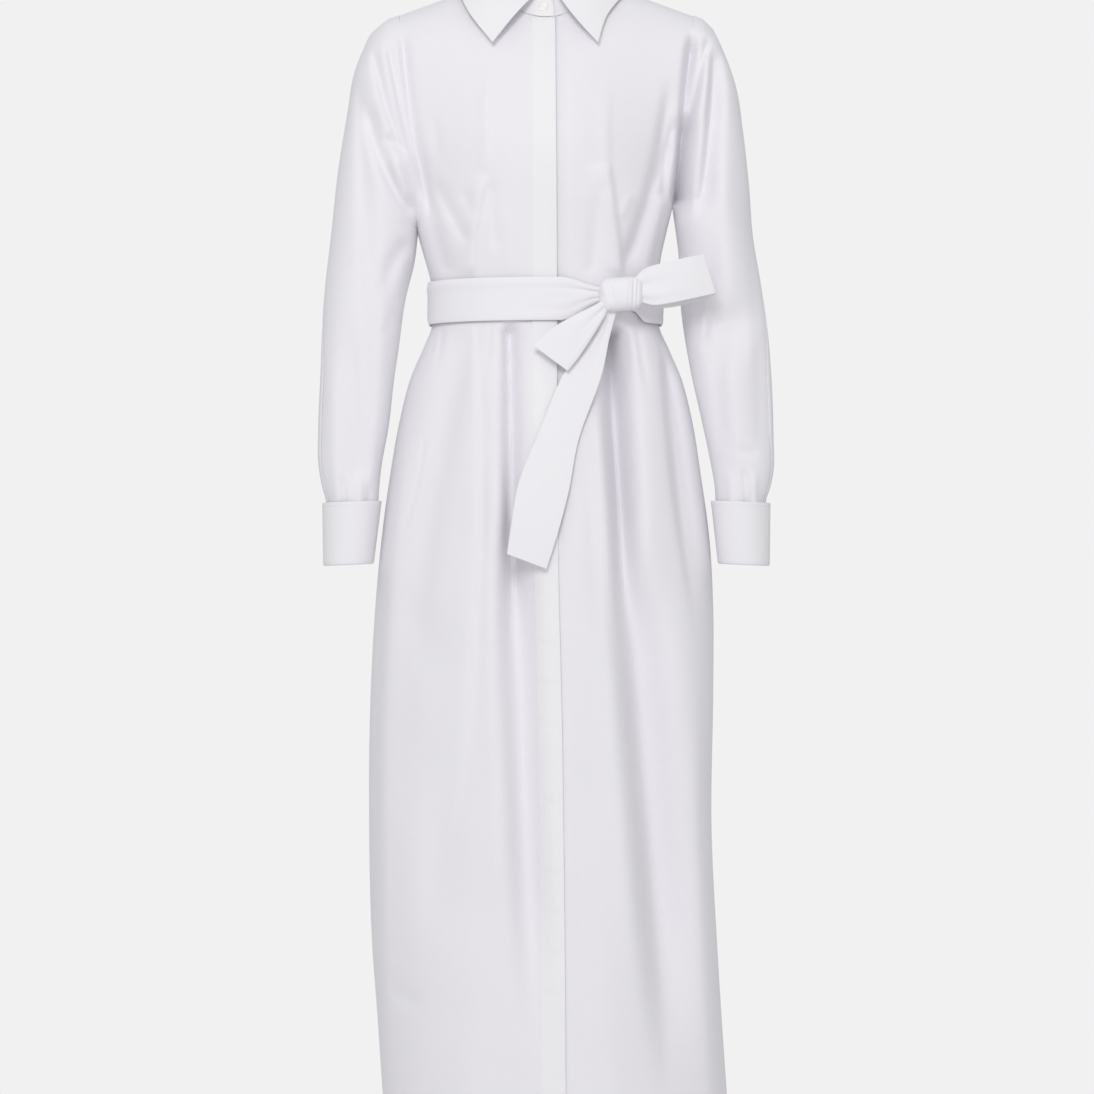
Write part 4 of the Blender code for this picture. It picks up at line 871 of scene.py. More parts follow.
PLACKET_ROWS, PLACKET_FINE_COLUMNS, PLACKET_THICKNESS = 640, 14, 0.0012
PLACKET_CROWN, PLACKET_BEVEL, PUCKER_SLANT = 0.0005, 0.0004, 0.12
PLACKET_MIDDLE_X, PLACKET_TOP_IN = -0.002, 0.0002
PLACKET_PUCKERS = table(
    "z reach rise",
    (-130, 10, 0.3), (-225, 10, 0.3), (-470, 12, 0.4),
    (-770, 6, 0.6), (-816, 6, 0.7), (-862, 7, 0.5),
    (-949, 8, 0.6), (-1030, 7, 0.7), (-1076, 7, 0.5),
    (-1122, 7, 0.6), (-1170, 7, 0.6), (-1260, 8, 0.5),
    (-1340, 8, 0.5),
)
placket_cotton = cloth_finish("placket_cotton", (0.890, 0.880, 0.905), 0.76)


def placket_surface(offsets, z, lift):
    """Points of the placket: the right front's depth there, moved out by a gap and its own
    thickness, with a soft crown across it and a pair of small ridges at each pucker."""
    z = np.repeat(z[:, None], len(offsets), axis=1)
    x = read(FRONT_EDGE, "x", z) + offsets
    crown = 1.0 - (2.0 * offsets / PLACKET_WIDTH + 1.0) ** 2
    away = body_depth(x, z, FRONT) + SEAM_GAP / 2 + LAYER_GAP + PLACKET_THICKNESS
    for at, reach, rise in zip(*PLACKET_PUCKERS.values()):
        from_pucker = (z + PUCKER_SLANT * (offsets + PLACKET_WIDTH / 2) - at) / reach
        away += rise * crown * (1.5 * from_pucker) * np.exp(-(from_pucker ** 2))
    away += PLACKET_CROWN * crown + lift
    return np.stack((x, -away, z), axis=-1)


neck_edge_z = float(top_edge(np.array([PLACKET_MIDDLE_X]), FRONT)[0][0])
placket_z = np.linspace(neck_edge_z - PLACKET_TOP_IN, HEM_Z, PLACKET_ROWS + 1)
fine_offsets = np.linspace(0.0, -PLACKET_WIDTH, PLACKET_FINE_COLUMNS + 1)
placket_grid = placket_surface(fine_offsets, placket_z, 0.0)
placket = cloth("placket_strip", [(placket_grid, True)], PLACKET_THICKNESS, placket_cotton,
                bevel=PLACKET_BEVEL)
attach(placket, "root")
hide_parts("placket")

# ---- Stitching ---------------------------------------------------------------------------------
# Rows of lockstitch in white thread, about three millimetres to the stitch: down the placket's inner
# side and round the hem. Each stitch is a short spindle of thread lying half sunk in the cloth.

STITCH_PITCH, STITCH_LENGTH, STITCH_RADIUS, STITCH_LIFT = 0.0031, 0.0024, 0.00022, 0.00005
SPINDLE_SHARES = (-1.0, -0.85, -0.35, 0.35, 0.85, 1.0)      # where its rings lie
SPINDLE_SIDES, SPINDLE_TIP = 6, 0.15
PLACKET_STITCH_IN, PLACKET_STITCH_TOP, PLACKET_STITCH_LOW = 0.0022, 0.0036, 0.002
PLACKET_STITCH_STEPS, HEM_STITCH_Z = 500, -1.396
FORWARD = np.array(((0.0, -1.0, 0.0),))


def speckled_finish(name, low, high, noise, settings):
    """A finish whose colour wanders between low and high with a noise."""
    made, shader, tree, place = new_finish(name, settings)
    cloud = tree.add("ShaderNodeTexNoise", None, {"Vector": place, **noise})
    feed(shader, {"Base Color": cloud.mix(low, high)})
    return made


thread_finish = speckled_finish("white_thread", (0.80, 0.79, 0.83, 1.0), (0.90, 0.89, 0.92, 1.0),
                                {"Scale": 600.0}, {"Roughness": 0.5})


def ring_faces(rows, columns, closed=False):
    """Four corners of each cell of a grid that closes round its columns, and round its rows too if
    closed."""
    k = np.arange(rows if closed else rows - 1)[:, None]
    j = np.arange(columns)[None, :]
    here, below, beside = k * columns, (k + 1) % rows * columns, (j + 1) % columns
    corners = (here + j, here + beside, below + beside, below + j)
    return np.stack(corners, axis=-1).reshape(-1, 4)


def on_line(points, run, at):
    """Points at distances along a line, straight between the line's own points."""
    return np.stack([np.interp(at, run, points[:, k]) for k in range(3)], axis=-1)


def stitches(name, rows):
    """Stitches along rows of (points, outward directions). Each is a spindle of six sides: its
    radius at a share s of its half length is the full radius times sqrt(1 - s^2)."""
    centres, forwards, outs = [], [], []
    for points, out in rows:
        run = np.concatenate(([0.0], np.cumsum(np.linalg.norm(np.diff(points, axis=0), axis=1))))
        count = int(run[-1] / STITCH_PITCH)
        at = (np.arange(count) + 0.5) * run[-1] / count
        ahead, behind = (on_line(points, run, at + s * STITCH_PITCH / 2) for s in (1, -1))
        centres.append(on_line(points, run, at))
        forwards.append(ahead - behind)
        outs.append(on_line(out, run, at))
    centres, forwards, outs = map(np.concatenate, (centres, forwards, outs))
    forwards = unit(forwards)
    sides = unit(np.cross(forwards, outs))
    ups = np.cross(sides, forwards)
    share = np.array(SPINDLE_SHARES)
    swell = np.sqrt(np.clip(1.0 - share ** 2, 0.0, 1.0))
    swell[[0, -1]] = SPINDLE_TIP
    corner = np.arange(SPINDLE_SIDES)
    angle = corner * math.tau / SPINDLE_SIDES
    length = forwards[:, None, None] * (share * STITCH_LENGTH / 2)[None, :, None, None]
    ring = sides[:, None, None] * np.cos(angle)[None, None, :, None]
    ring = ring + ups[:, None, None] * np.sin(angle)[None, None, :, None]
    points = centres[:, None, None] + length + ring * (swell * STITCH_RADIUS)[None, :, None, None]
    per_stitch = len(share) * SPINDLE_SIDES
    starts = np.arange(len(centres))[:, None] * per_stitch
    quads = starts[:, :, None] + ring_faces(len(share), SPINDLE_SIDES)[:, ::-1]
    ends = (starts + corner).tolist() + (starts + per_stitch - 1 - corner).tolist()
    made = new_piece(name, points, quads.reshape(-1, 4).tolist() + ends, thread_finish)
    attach(made, "root")


stitch_z = np.linspace(neck_edge_z - PLACKET_STITCH_TOP, HEM_Z + PLACKET_STITCH_LOW,
                       PLACKET_STITCH_STEPS)
inner_side = np.array([-PLACKET_WIDTH + PLACKET_STITCH_IN])
placket_line = placket_surface(inner_side, stitch_z, STITCH_LIFT)[:, 0]
hem_rows = [(placket_line, np.repeat(FORWARD, len(placket_line), axis=0))]
for grid, _ in (right_grids[0], left_grids[0], back_grids[0], back_grids[2]):
    line = grid[int(np.argmin(np.abs(grid[:, -1, 2] - HEM_STITCH_Z)))]
    out = unit(line * np.array((1.0, 2.0, 0.0)))
    hem_rows.append((line + out * STITCH_LIFT, out))
stitches("stitching_placket_hem", hem_rows)

# ---- The cuffs ---------------------------------------------------------------------------------
# A turned-back double cuff at each wrist: stiffened cloth folded up on the outside of the sleeve and
# topstitched along both edges. The sleeve's end sits inside it in small tucks.

CUFF_TOP_Z, CUFF_LOW_Z = -0.609, -0.683
CUFF_WALL, CUFF_SPACE, CUFF_INNER_TOP_Z = 0.0016, 0.0014, -0.6370
CUFF = {
    # side: centre x at the top and bottom, half width at the top and bottom
    RIGHT: ((-0.2268, -0.2312), (0.0348, 0.0296)),
    LEFT: ((0.2288, 0.2329), (0.0350, 0.0304)),
}
CUFF_MIDDLE_Y, CUFF_HALF_DEPTH = -0.023, (0.0385, 0.0345)
CUFF_WAVES, CUFF_TILT = (0.0004, 0.0003), -0.0012
CUFF_SIDES, CUFF_STITCH_STEPS = 120, 160
CUFF_STEPS = (26, 12, 10)      # up the outer wall, down inside it, and up the inner wall
CUFF_FOLD_RADIUS = (2 * CUFF_WALL + CUFF_SPACE) / 2
CUFF_STITCH_Z = (-0.6135, -0.6790)
cuff_cotton = cloth_finish("cuff_cotton", (0.880, 0.868, 0.900), 0.76, crumple=0.00016)


def cuff_ring(side, z, inwards, angle):
    """A point of the cuff: an ellipse that narrows towards the wrist, pushed in by inwards, with
    a slight wave round its top edge."""
    centre, half = CUFF[side]
    down = (CUFF_TOP_Z - z) / (CUFF_TOP_Z - CUFF_LOW_Z)
    wave = CUFF_WAVES[0] * (1.0 - down) * np.sin(3.0 * angle + side)
    wave = wave + CUFF_WAVES[1] * np.sin(2.0 * angle) - inwards
    x = between(centre, down) + (between(half, down) + wave) * np.cos(angle)
    y = CUFF_MIDDLE_Y + (between(CUFF_HALF_DEPTH, down) + wave) * np.sin(angle)
    return np.stack((x, y, z + CUFF_TILT * side * np.cos(angle)), axis=-1)


def cuff_profile():
    """The cuff's section as (inwards, z): up the outer wall, over its rounded top, down inside it,
    round the fold and up the inner wall."""
    wall, space = CUFF_WALL / 2, CUFF_SPACE / 2
    top_z, low_z = CUFF_TOP_Z - wall, CUFF_LOW_Z + CUFF_FOLD_RADIUS
    outer_z = np.linspace(low_z, top_z, CUFF_STEPS[0])
    inner_z = np.linspace(top_z, low_z, CUFF_STEPS[1])
    last_z = np.linspace(low_z, CUFF_INNER_TOP_Z, CUFF_STEPS[2])
    last = 2 * CUFF_FOLD_RADIUS
    top, big = np.linspace(0.0, math.pi, 7)[1:-1], np.linspace(0.0, math.pi, 9)[1:-1]
    fold = top[::-1]
    parts = (
        (np.zeros_like(outer_z), outer_z),
        (wall * (1 - np.cos(top)), top_z + wall * np.sin(top)),
        (np.full_like(inner_z, CUFF_WALL), inner_z),
        (CUFF_WALL + space * (1 + np.cos(fold)), low_z - space * np.sin(fold)),
        (np.full_like(last_z, CUFF_WALL + CUFF_SPACE), last_z),
        (last - wall * (1 + np.cos(top)), CUFF_INNER_TOP_Z + wall * np.sin(top)),
        (np.full_like(last_z, last), last_z[::-1]),
        (last / 2 * (1 + np.cos(big)), low_z - last / 2 * np.sin(big)),
    )
    return [np.concatenate(part) for part in zip(*parts)]


def tube(name, grid, finish, closed=False):
    """A tube closed round its columns. Its rows close on themselves too if closed, and else end in
    flat caps."""
    rows, columns = grid.shape[:2]
    faces = ring_faces(rows, columns, closed).tolist()
    around = np.concatenate((grid, grid[:1])) if closed else grid
    lengths = run_lengths(np.concatenate((around, around[:, :1]), axis=1))
    corners = np.stack((lengths[:-1, :-1], lengths[:-1, 1:], lengths[1:, 1:], lengths[1:, :-1]), 2)
    corners = corners.reshape(-1, 2)
    if not closed:
        cap = np.arange(columns)
        faces += [cap[::-1].tolist(), ((rows - 1) * columns + cap).tolist()]
        corners = np.concatenate((corners, np.zeros((2 * columns, 2))))
    return new_piece(name, grid, faces, finish, corners)


for side, node in ((RIGHT, "cuff_right"), (LEFT, "cuff_left")):
    inwards, profile_z = cuff_profile()
    angle = np.arange(CUFF_SIDES) * math.tau / CUFF_SIDES
    grid = cuff_ring(side, profile_z[:, None], inwards[:, None], angle[None, :])
    cuff = tube(node + "_cloth", grid, cuff_cotton, closed=True)
    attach(cuff, "root")
    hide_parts(node)
    turn = np.linspace(0.0, math.tau, CUFF_STITCH_STEPS)
    out = np.stack((np.cos(turn), np.sin(turn), np.zeros_like(turn)), axis=-1)
    lines = [(cuff_ring(side, np.full_like(turn, stitch_z), -STITCH_LIFT, turn), out)
             for stitch_z in CUFF_STITCH_Z]
    stitches("stitching_" + node, lines)

# ---- The collar stand --------------------------------------------------------------------------
# A stiffened band of two layers, sewn round the neck edge. Its right end is rounded, laps over the
# left one at the middle front and is buttoned there. It is stitched along both long edges.

STAND_HEIGHT, STAND_LEAN, STAND_THICKNESS = 0.030, 0.93, 0.0018
STAND_TOP_END, STAND_UNDER_END, STAND_UNDER_START = -8.0, 370.0, 325.0
STAND_UNDER_PUSH, STAND_UNDER_FADE = 0.0032, 20.0
STAND_RAISE, STAND_ROUND_DEGREES = 0.0010, 9.0
STAND_END_HEIGHT, STAND_STITCH_SHARES = 0.25, (0.10, 0.90)
COLLAR_BEVEL = 0.0005
STAND_STATIONS, STAND_ROWS = 260, 12
collar_cotton = cloth_finish("collar_cotton", (0.885, 0.875, 0.900), 0.74)


def neck_point(degrees, up, lean):
    """A place round the neck seam, from the middle front by the wearer's right, raised by up."""
    angle = np.radians(degrees)
    forward = np.cos(angle)
    reach = np.where(forward > 0, NECK_REACH[FRONT], NECK_REACH[BACK])
    drop = np.where(forward > 0, NECK_DROP[FRONT], NECK_DROP[BACK])
    x = -NECK_HALF_WIDTH * np.sin(angle) * lean
    y = -reach * forward * lean
    return np.stack((x, y, -drop * forward ** 2 + up), axis=-1)


def stand_surface(degrees, share):
    """Points of the stand: share 0 is the neck seam and 1 its top edge. Both ends are rounded: the
    top comes down by a quarter circle over the last degrees."""
    under = STAND_UNDER_PUSH * smooth_step((degrees - STAND_UNDER_START) / STAND_UNDER_FADE)
    from_end = np.minimum(degrees - STAND_TOP_END, STAND_UNDER_END - degrees)
    tall = between((STAND_END_HEIGHT, 1.0), quarter_round(from_end / STAND_ROUND_DEGREES))
    share = share * tall
    lean = between((1.0, STAND_LEAN), share)
    points = neck_point(degrees, STAND_RAISE + STAND_HEIGHT * share, lean)
    points[..., 1] += under
    return points


degrees = np.linspace(STAND_TOP_END, STAND_UNDER_END, STAND_STATIONS)
stand_grid = stand_surface(degrees[None, :], np.linspace(1.0, 0.0, STAND_ROWS + 1)[:, None])
stand = cloth("collar_stand_band", [(stand_grid, False)], STAND_THICKNESS, collar_cotton,
              weld=False, bevel=COLLAR_BEVEL)
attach(stand, "root")
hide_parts("collar_stand")
stand_lines = []
for share in STAND_STITCH_SHARES:
    line = stand_surface(degrees, np.full(STAND_STATIONS, share))
    out = unit(line * np.array((1.0, 1.0, 0.0)))
    stand_lines.append((line + out * STITCH_LIFT, out))
stitches("stitching_stand", stand_lines)

# ---- The collar --------------------------------------------------------------------------------
# A pointed leaf of two layers, sewn into the top of the stand and turned down over it. It is
# topstitched a few millimetres inside its edge.

LEAF_THICKNESS, LEAF_FOLD_OUT, LEAF_FOLD_UP = 0.0016, 0.0030, 0.0012
LEAF_ENDS, LEAF_BULGE, LEAF_ROLL = (2.0, 352.5), 0.0045, 0.8
LEAF_STATIONS, LEAF_ROWS, LEAF_STITCH_STEPS = 281, 26, 60
LEAF_STITCH_SHARES, LEAF_STITCH_IN, LEAF_STITCH_TILT = (0.10, 0.915), 10, 0.6
# The outer edge, by thousandths of the way from the middle back to the points.
LEAF_EDGE = table(
    "turn right left y z",
    (0, 0, 0, 71, -14),
    (220, -50, 50, 61, -12),
    (420, -86, 85, 36, -3),
    (580, -103, 100, 0, -1),
    (720, -99, 90, -42, -18),
    (860, -86, 71, -70, -46),
    (1000, -61, 60.5, -91, -80),
)
LEAF_SWAY, LEAF_SWAY_FROM = 0.007, 0.70      # the left point's front edge bows to the middle


def leaf_surface(share, stations):
    """Points of the leaf: straight lines from the fold to the outer edge, bowed out and up by a
    half sine, so that the leaf rolls over the stand."""
    turn = np.linspace(-1.0, 1.0, stations)
    degrees = between(LEAF_ENDS, (turn + 1.0) / 2.0)
    fold = neck_point(degrees, STAND_RAISE + STAND_HEIGHT, STAND_LEAN)
    out = unit(fold[:, :2])
    fold[:, :2] += out * LEAF_FOLD_OUT
    fold[:, 2] += LEAF_FOLD_UP
    right, left, y, z = (read(LEAF_EDGE, name, np.abs(turn)) for name in ("right", "left", "y", "z"))
    edge = np.stack((np.where(turn < 0.0, right, left), y, z), axis=-1)
    share = np.asarray(share)[:, None]
    points = fold[None] + (edge - fold)[None] * share[:, :, None]
    bulge = LEAF_BULGE * np.sin(math.pi * share ** LEAF_ROLL)
    points[:, :, :2] += out[None] * bulge[:, :, None]
    points[:, :, 2] += bulge
    swaying = smooth_step((turn - LEAF_SWAY_FROM) / (1.0 - LEAF_SWAY_FROM))
    points[:, :, 0] -= LEAF_SWAY * swaying * np.sin(math.pi * share)
    return points, out


leaf_grid, _ = leaf_surface(np.linspace(0.0, 1.0, LEAF_ROWS + 1), LEAF_STATIONS)
collar = cloth("collar_leaf", [(leaf_grid, False)], LEAF_THICKNESS, collar_cotton, weld=False,
               bevel=COLLAR_BEVEL)
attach(collar, "root")
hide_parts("collar")
stitch_points, leaf_out = leaf_surface(
    np.linspace(*LEAF_STITCH_SHARES, LEAF_STITCH_STEPS), LEAF_STATIONS)
leaf_up = unit(np.concatenate((leaf_out, np.full((LEAF_STATIONS, 1), LEAF_STITCH_TILT)), axis=1))
between_ends = slice(LEAF_STITCH_IN, LEAF_STATIONS - LEAF_STITCH_IN)
ends = [((stitch_points[-1] + leaf_up * STITCH_LIFT)[between_ends], leaf_up[between_ends])]
for column in (LEAF_STITCH_IN - 1, LEAF_STATIONS - LEAF_STITCH_IN):
    out = np.repeat(leaf_up[column][None], len(stitch_points), axis=0)
    ends.append((stitch_points[:, column] + out * STITCH_LIFT, out))
stitches("stitching_collar", ends)

# ---- The neck button ---------------------------------------------------------------------------
# A small off-white pearly button with four holes, sewn to the stand's right end.

BUTTON_RADIUS, BUTTON_THICKNESS = 0.0056, 0.0022
BUTTON_X, BUTTON_Z, BUTTON_LEAN = -0.002, -0.034, 9.0
BUTTON_HOLE_AT, BUTTON_HOLE_RADIUS = 0.00115, 0.00055
BUTTON_RINGS, BUTTON_SIDES, BUTTON_PIN = 26, 96, 0.00002
BUTTON_RIM, BUTTON_DISH, BUTTON_ROUND = 0.16, 0.16, 0.45       # rim's width, dish's depth, rounding
BUTTON_DISH_SHARE, BUTTON_HOLE_DEPTH, BUTTON_HOLE_SOFT = 0.74, 0.0011, 0.0003


def button_face(radius, angle):
    """Height of the button's front: a raised rounded rim, a dished middle, and four holes with
    soft mouths."""
    share = radius / BUTTON_RADIUS
    dish = BUTTON_DISH * smooth_step((BUTTON_DISH_SHARE - share) / BUTTON_RIM)
    rounding = BUTTON_ROUND * (1.0 - quarter_round((1.0 - share) / BUTTON_RIM))
    height = BUTTON_THICKNESS * (0.5 - dish - rounding)
    x, y = radius * np.cos(angle), radius * np.sin(angle)
    for hole_x in (-BUTTON_HOLE_AT, BUTTON_HOLE_AT):
        for hole_y in (-BUTTON_HOLE_AT, BUTTON_HOLE_AT):
            from_hole = np.hypot(x - hole_x, y - hole_y)
            mouth = smooth_step((BUTTON_HOLE_RADIUS * 1.3 - from_hole) / BUTTON_HOLE_SOFT)
            height = height - BUTTON_HOLE_DEPTH * mouth
    return height


radius = np.linspace(BUTTON_PIN, BUTTON_RADIUS, BUTTON_RINGS)[:, None]
angle = (np.arange(BUTTON_SIDES) * math.tau / BUTTON_SIDES)[None, :]
front = np.stack((radius * np.cos(angle) * np.ones_like(angle), radius * np.sin(angle),
                  button_face(radius, angle)), axis=-1)
rear = front[::-1].copy()
rear[..., 2] = -BUTTON_THICKNESS / 2
shell = np.concatenate((front, rear))
cap = np.arange(BUTTON_SIDES)
faces = ring_faces(len(shell), BUTTON_SIDES)[:, [0, 3, 2, 1]].tolist()
faces += [cap.tolist(), ((len(shell) - 1) * BUTTON_SIDES + cap)[::-1].tolist()]
lean = math.radians(90.0 - BUTTON_LEAN)
stand_share = (BUTTON_Z + NECK_DROP[FRONT]) / STAND_HEIGHT
stand_y = -NECK_REACH[FRONT] * between((1.0, STAND_LEAN), stand_share)
turned = shell.copy()
turned[..., 1] = shell[..., 1] * math.cos(lean) - shell[..., 2] * math.sin(lean)
turned[..., 2] = shell[..., 1] * math.sin(lean) + shell[..., 2] * math.cos(lean)
turned += np.array((BUTTON_X, stand_y - BUTTON_THICKNESS / 2 - LAYER_GAP, BUTTON_Z))
pearl = speckled_finish("pearl_button", (0.80, 0.78, 0.71, 1.0), (0.92, 0.90, 0.84, 1.0),
                        {"Scale": 260.0, "Distortion": 1.5}, {"Roughness": 0.25, "Coat Weight": 0.5})
button = new_piece("neck_button", turned, faces, pearl)
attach(button, "root")
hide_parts("button_neck")

# ---- The belt's band ---------------------------------------------------------------------------
# A long folded strip of the dress's cloth round the waist. It gathers into the knot at the front and
# has a few soft pleats along it.

BELT_THICKNESS, BELT_LIFT = 0.0020, 0.0042
BELT_WAIST_ENDS = (0.0640, 0.0980)
BELT_TAPER, BELT_END_HALF = (0.050, 0.022), (0.0075, 0.0165)     # where it starts, where it ends
BELT_STATIONS, BELT_ROWS, BELT_BEVEL = 420, 22, 0.0006
BELT_RIPPLE, BELT_GATHER, BELT_EDGE_DROP = 0.0002, 0.0009, 0.0016
BELT_PLEATS = (
    # share of the half height at the knot, slope along the band, reach, rise, width
    (0.74, -0.20, 0.40, 0.0007, 0.10),
    (0.56, -1.40, 0.10, -0.0012, 0.10),
    (-0.20, 0.40, 0.09, 0.0012, 0.14),
    (-0.60, 0.80, 0.12, -0.0009, 0.12),
)
KNOT_CENTRE, KNOT_SIZE = (0.0870, -0.0985, -0.3710), (0.0495, 0.036, 0.0385)
belt_cotton = cloth_finish("belt_cotton", (0.885, 0.873, 0.905), 0.77)


def belt_surface():
    """Points of the band: the body's outline at the belt's height, moved out. Near the knot the
    width draws in and pleats form; round the waist the pleats are shallow and long."""
    start_x, end_x = BELT_WAIST_ENDS
    middle, half = outline(BELT_MIDDLE_Z)
    start = math.asin((start_x - middle) / half)
    end = math.asin((end_x - middle) / half)
    angle = np.linspace(start, end - math.tau, BELT_STATIONS)
    x = middle + half * np.sin(angle)
    is_front = np.cos(angle) > 0.0
    level = np.full_like(x, BELT_MIDDLE_Z)
    run_y = np.where(is_front, -plain_depth(x, level, FRONT), plain_depth(x, level, BACK))
    run = np.concatenate(([0.0], np.cumsum(np.hypot(np.diff(x), np.diff(run_y)))))
    from_start, from_end = run, run[-1] - run
    gather = smooth_step(1.0 - from_start / BELT_TAPER[0])
    end_gather = smooth_step(1.0 - from_end / BELT_TAPER[1])
    share = np.linspace(1.0, -1.0, BELT_ROWS + 1)
    upright = (BELT_TOP_Z - BELT_LOW_Z) / 2.0
    full_z = BELT_MIDDLE_Z + share[:, None] * upright
    start_z = KNOT_CENTRE[2] + share[:, None] * BELT_END_HALF[0]
    end_z = KNOT_CENTRE[2] + share[:, None] * BELT_END_HALF[1]
    z = full_z + (start_z - full_z) * gather[None, :] + (end_z - full_z) * end_gather[None, :]
    x = np.repeat(x[None, :], len(share), axis=0)
    away = np.where(is_front, plain_depth(x, z, FRONT), -plain_depth(x, z, BACK))
    points = np.stack((x, -away, z), axis=-1)
    out = np.stack((x[0] - middle, -away[BELT_ROWS // 2], np.zeros_like(x[0])), axis=-1)
    out[:, 0] /= half ** 2
    out[:, 1] /= read(BODY, "front", BELT_MIDDLE_Z) ** 2
    out = unit(out)
    lift = np.full(z.shape, BELT_LIFT + BELT_THICKNESS)
    for centre, slope, reach, rise, width in BELT_PLEATS:
        for ran in (from_start, from_end):
            line = centre + slope * ran[None, :]
            fade = smooth_step((reach - ran[None, :]) / reach)
            lift += rise * fade * np.exp(-(((share[:, None] - line) / width) ** 2))
    lift += BELT_RIPPLE * np.sin(5.0 * share[:, None] + 14.0 * run[None, :])
    lift += BELT_GATHER * gather[None, :] * np.sin(9.0 * share[:, None] + 1.0)
    lift -= BELT_EDGE_DROP * np.abs(share[:, None]) ** 8
    return points + out[None] * lift[:, :, None]


belt = cloth("belt_band", [(belt_surface(), False)], BELT_THICKNESS, belt_cotton, weld=False,
             bevel=BELT_BEVEL)
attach(belt, "root")
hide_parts("belt_wrap")

# ---- The knot ----------------------------------------------------------------------------------
# The belt wound over itself and pulled tight. Wraps run up and down over the front, two narrow ones
# on the wearer's left, and all of it is soft and rounded.

KNOT_ROWS, KNOT_SIDES = 90, 140
KNOT_WRAPS = (
    # x from its middle at its middle height, slant, depth, width
    (0.0085, 0.06, 0.0018, 0.0012),
    (0.0140, 0.04, 0.0020, 0.0012),
    (-0.0030, -0.22, 0.0007, 0.0030),
    (-0.0120, 0.30, 0.0009, 0.0026),
    (0.0113, 0.0, -0.0012, 0.0020),
    (0.0186, 0.06, 0.0016, 0.0011),
)
KNOT_FALL, KNOT_SIDE_FALL = 0.0022, 0.0030
KNOT_RIPPLE, KNOT_RIPPLE_TURNS, KNOT_RIPPLE_SLANT = 0.0007, 430.0, 0.35
KNOT_NARROW, KNOT_TILT, KNOT_END = 0.07, 0.0015, 0.03
KNOT_ROUND = (0.42, 0.62)      # how square its front outline and its sides are; 1 is a plain oval


def knot_surface():
    """Points of the knot: rings round the line from its back to its front. Each ring is a rounded
    oblong, and the rings shrink towards the back and front as a rounded side does. Grooves run up
    and down between the wraps."""
    along = np.linspace(-math.pi / 2 + KNOT_END, math.pi / 2 - KNOT_END, KNOT_ROWS)[:, None]
    turn = (np.arange(KNOT_SIDES) * math.tau / KNOT_SIDES)[None, :]
    half = np.array(KNOT_SIZE) / 2.0
    ring = np.abs(np.cos(along)) ** KNOT_ROUND[1]
    x = half[0] * ring * np.sign(np.cos(turn)) * np.abs(np.cos(turn)) ** KNOT_ROUND[0]
    z = half[2] * ring * np.sign(np.sin(turn)) * np.abs(np.sin(turn)) ** KNOT_ROUND[0]
    y = -half[1] * np.sign(np.sin(along)) * np.abs(np.sin(along)) ** KNOT_ROUND[1] * np.ones_like(x)
    deep = KNOT_FALL * (z / half[2]) ** 2 + KNOT_SIDE_FALL * np.clip(-x / half[0], 0.0, 1.0) ** 2
    for at, slant, depth, width in KNOT_WRAPS:
        deep = deep + depth * np.exp(-(((x - at - slant * z) / width) ** 2))
    ripple = np.sin(KNOT_RIPPLE_TURNS * (x + KNOT_RIPPLE_SLANT * z))
    deep = deep + KNOT_RIPPLE * ripple * smooth_step((-x + 0.004) / 0.008)
    y = y + deep * np.clip(-y / half[1], 0.0, 1.0)
    narrow = 1.0 - KNOT_NARROW * smooth_step((x / half[0] - 0.5) / 0.5)
    lean = KNOT_TILT * x / half[0]
    middle = np.array(KNOT_CENTRE)
    return np.stack((middle[0] + x, middle[1] + y, middle[2] + z * narrow + lean), axis=-1)


knot = tube("belt_knot_wrapped", knot_surface(), belt_cotton)
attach(knot, "root")
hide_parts("belt_knot")

# ---- The bow's loop and the two ends -----------------------------------------------------------
# The same strip, tied in half a bow: a flattened loop towards the wearer's left, a short end over the
# long one, both hanging from the knot with slanted, stitched tips.

STRIP_COLUMNS = "at x1 z1 x2 z2 y"      # station, one edge, the other edge, how far forward
LOOP_FRONT = (
    (104, -352, 104, -380, -99),
    (112, -344, 112.5, -380.5, -102),
    (120, -339.7, 125, -383.8, -106),
    (142, -334.3, 144, -381.5, -109),
    (164, -328.8, 172, -375.5, -106),
    (181.2, -325, 195, -370, -99),
)
LOOP_BACK = (
    (180.8, -325.6, 194.8, -371.2, -93.5),
    (164, -330, 174, -378.5, -89),
    (142, -336, 147, -385, -88),
    (118, -344, 124, -387, -90),
)
SHORT_TAIL = (
    (64, -380, 70, -390, -105),
    (56, -385, 66, -399, -111),
    (30, -398.5, 52, -422.5, -117),
    (7.5, -412, 38, -444, -121.5),
    (-15, -431, 25.3, -460.5, -124.5),
)
LONG_TAIL = (
    (66, -385, 82, -388, -96),
    (56, -415, 73.5, -420, -102),
    (21.5, -463, 63, -469, -116),
    (-7, -530, 38.5, -537, -127.5),
    (-30, -588, 26.8, -597, -135),
    (-38.5, -635, 14, -646, -139.5),
    (-43.6, -670, 1, -687, -142),
)
STRIP_CAMBER, STRIP_ROWS, STRIP_THICKNESS = 0.0015, 24, 0.0016


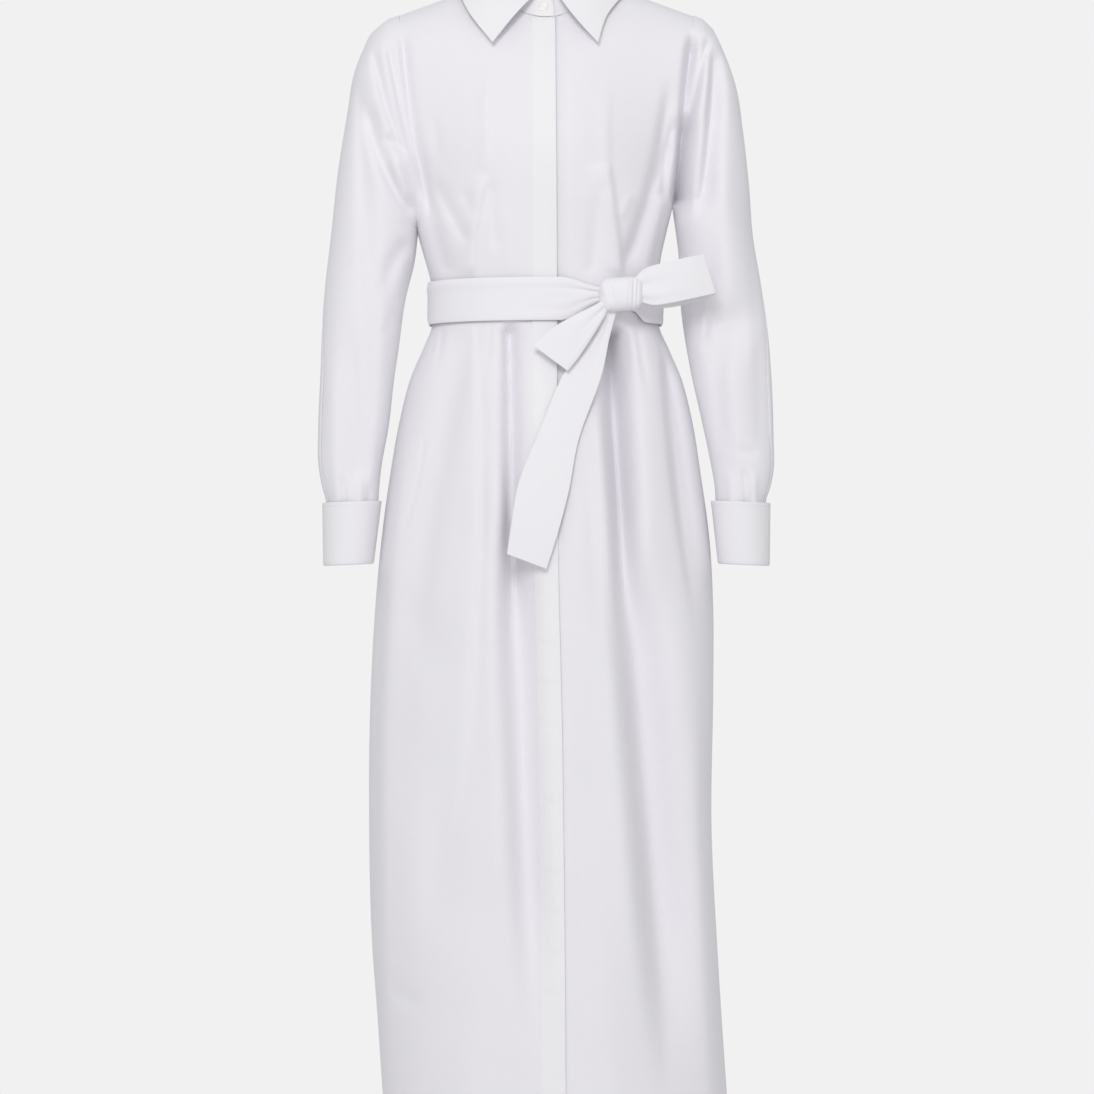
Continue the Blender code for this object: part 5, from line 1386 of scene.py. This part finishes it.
def strip_surface(stations, steps, *pleats):
    """Points of a strip between two edges that run on smooth curves through the stations, with a
    slight camber. Each of pleats is (across, height, width, reach): a ridge that starts full at
    the first station and dies away by a share of the length."""
    rows = [(k * MM, *row) for k, row in enumerate(stations)]
    fields = table(STRIP_COLUMNS, *rows)
    place = np.linspace(0.0, len(rows) - 1.0, steps)
    x1, z1, x2, z2, y = (read(fields, name, place) for name in ("x1", "z1", "x2", "z2", "y"))
    share = np.linspace(1.0, -1.0, STRIP_ROWS + 1)[:, None]
    x, z = (between(ends, (1.0 + share) / 2.0) for ends in ((x2, x1), (z2, z1)))
    along = place / place[-1]
    y = y + STRIP_CAMBER * share ** 2
    for across, height, spread, reach in pleats:
        ridge = np.exp(-(((share - across) / spread) ** 2))
        y = y - height * ridge * smooth_step((reach - along) / reach)
    return np.stack((x, y, z), axis=-1)


loop_front = strip_surface(LOOP_FRONT, 90, (0.55, 0.0018, 0.20, 0.7), (0.1, -0.0020, 0.20, 0.8),
                           (-0.45, 0.0020, 0.20, 0.9), (-0.8, -0.0012, 0.10, 0.6))
loop_grid = np.concatenate((loop_front, strip_surface(LOOP_BACK, 70)), axis=1)
short_grid = strip_surface(SHORT_TAIL, 90, (0.35, 0.0018, 0.20, 0.8), (-0.15, -0.0016, 0.18, 0.7),
                           (-0.80, 0.0014, 0.08, 1.6))
long_grid = strip_surface(LONG_TAIL, 200, (0.3, 0.0020, 0.20, 0.5), (-0.3, -0.0016, 0.18, 0.45),
                          (0.75, -0.0012, 0.12, 0.35))
for name, grid, flip, node, flat in (
    ("belt_loop_bow", loop_grid, True, "belt_loop", (0.17, 0.048)),
    ("belt_end_short", short_grid, False, "belt_tail_short", (0.076, 0.045)),
    ("belt_end_long", long_grid, False, "belt_tail_long", (0.30, 0.046)),
):
    piece = cloth(name, [(grid, flip)], STRIP_THICKNESS, belt_cotton, weld=False, bevel=BELT_BEVEL)
    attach(piece, "root")
    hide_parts(node)
end_lines = [grid[1:-1, -4] for grid in (short_grid, long_grid)]
stitches("stitching_belt_ends",
         [(line + FORWARD * STITCH_LIFT, np.repeat(FORWARD, len(line), axis=0)) for line in end_lines])
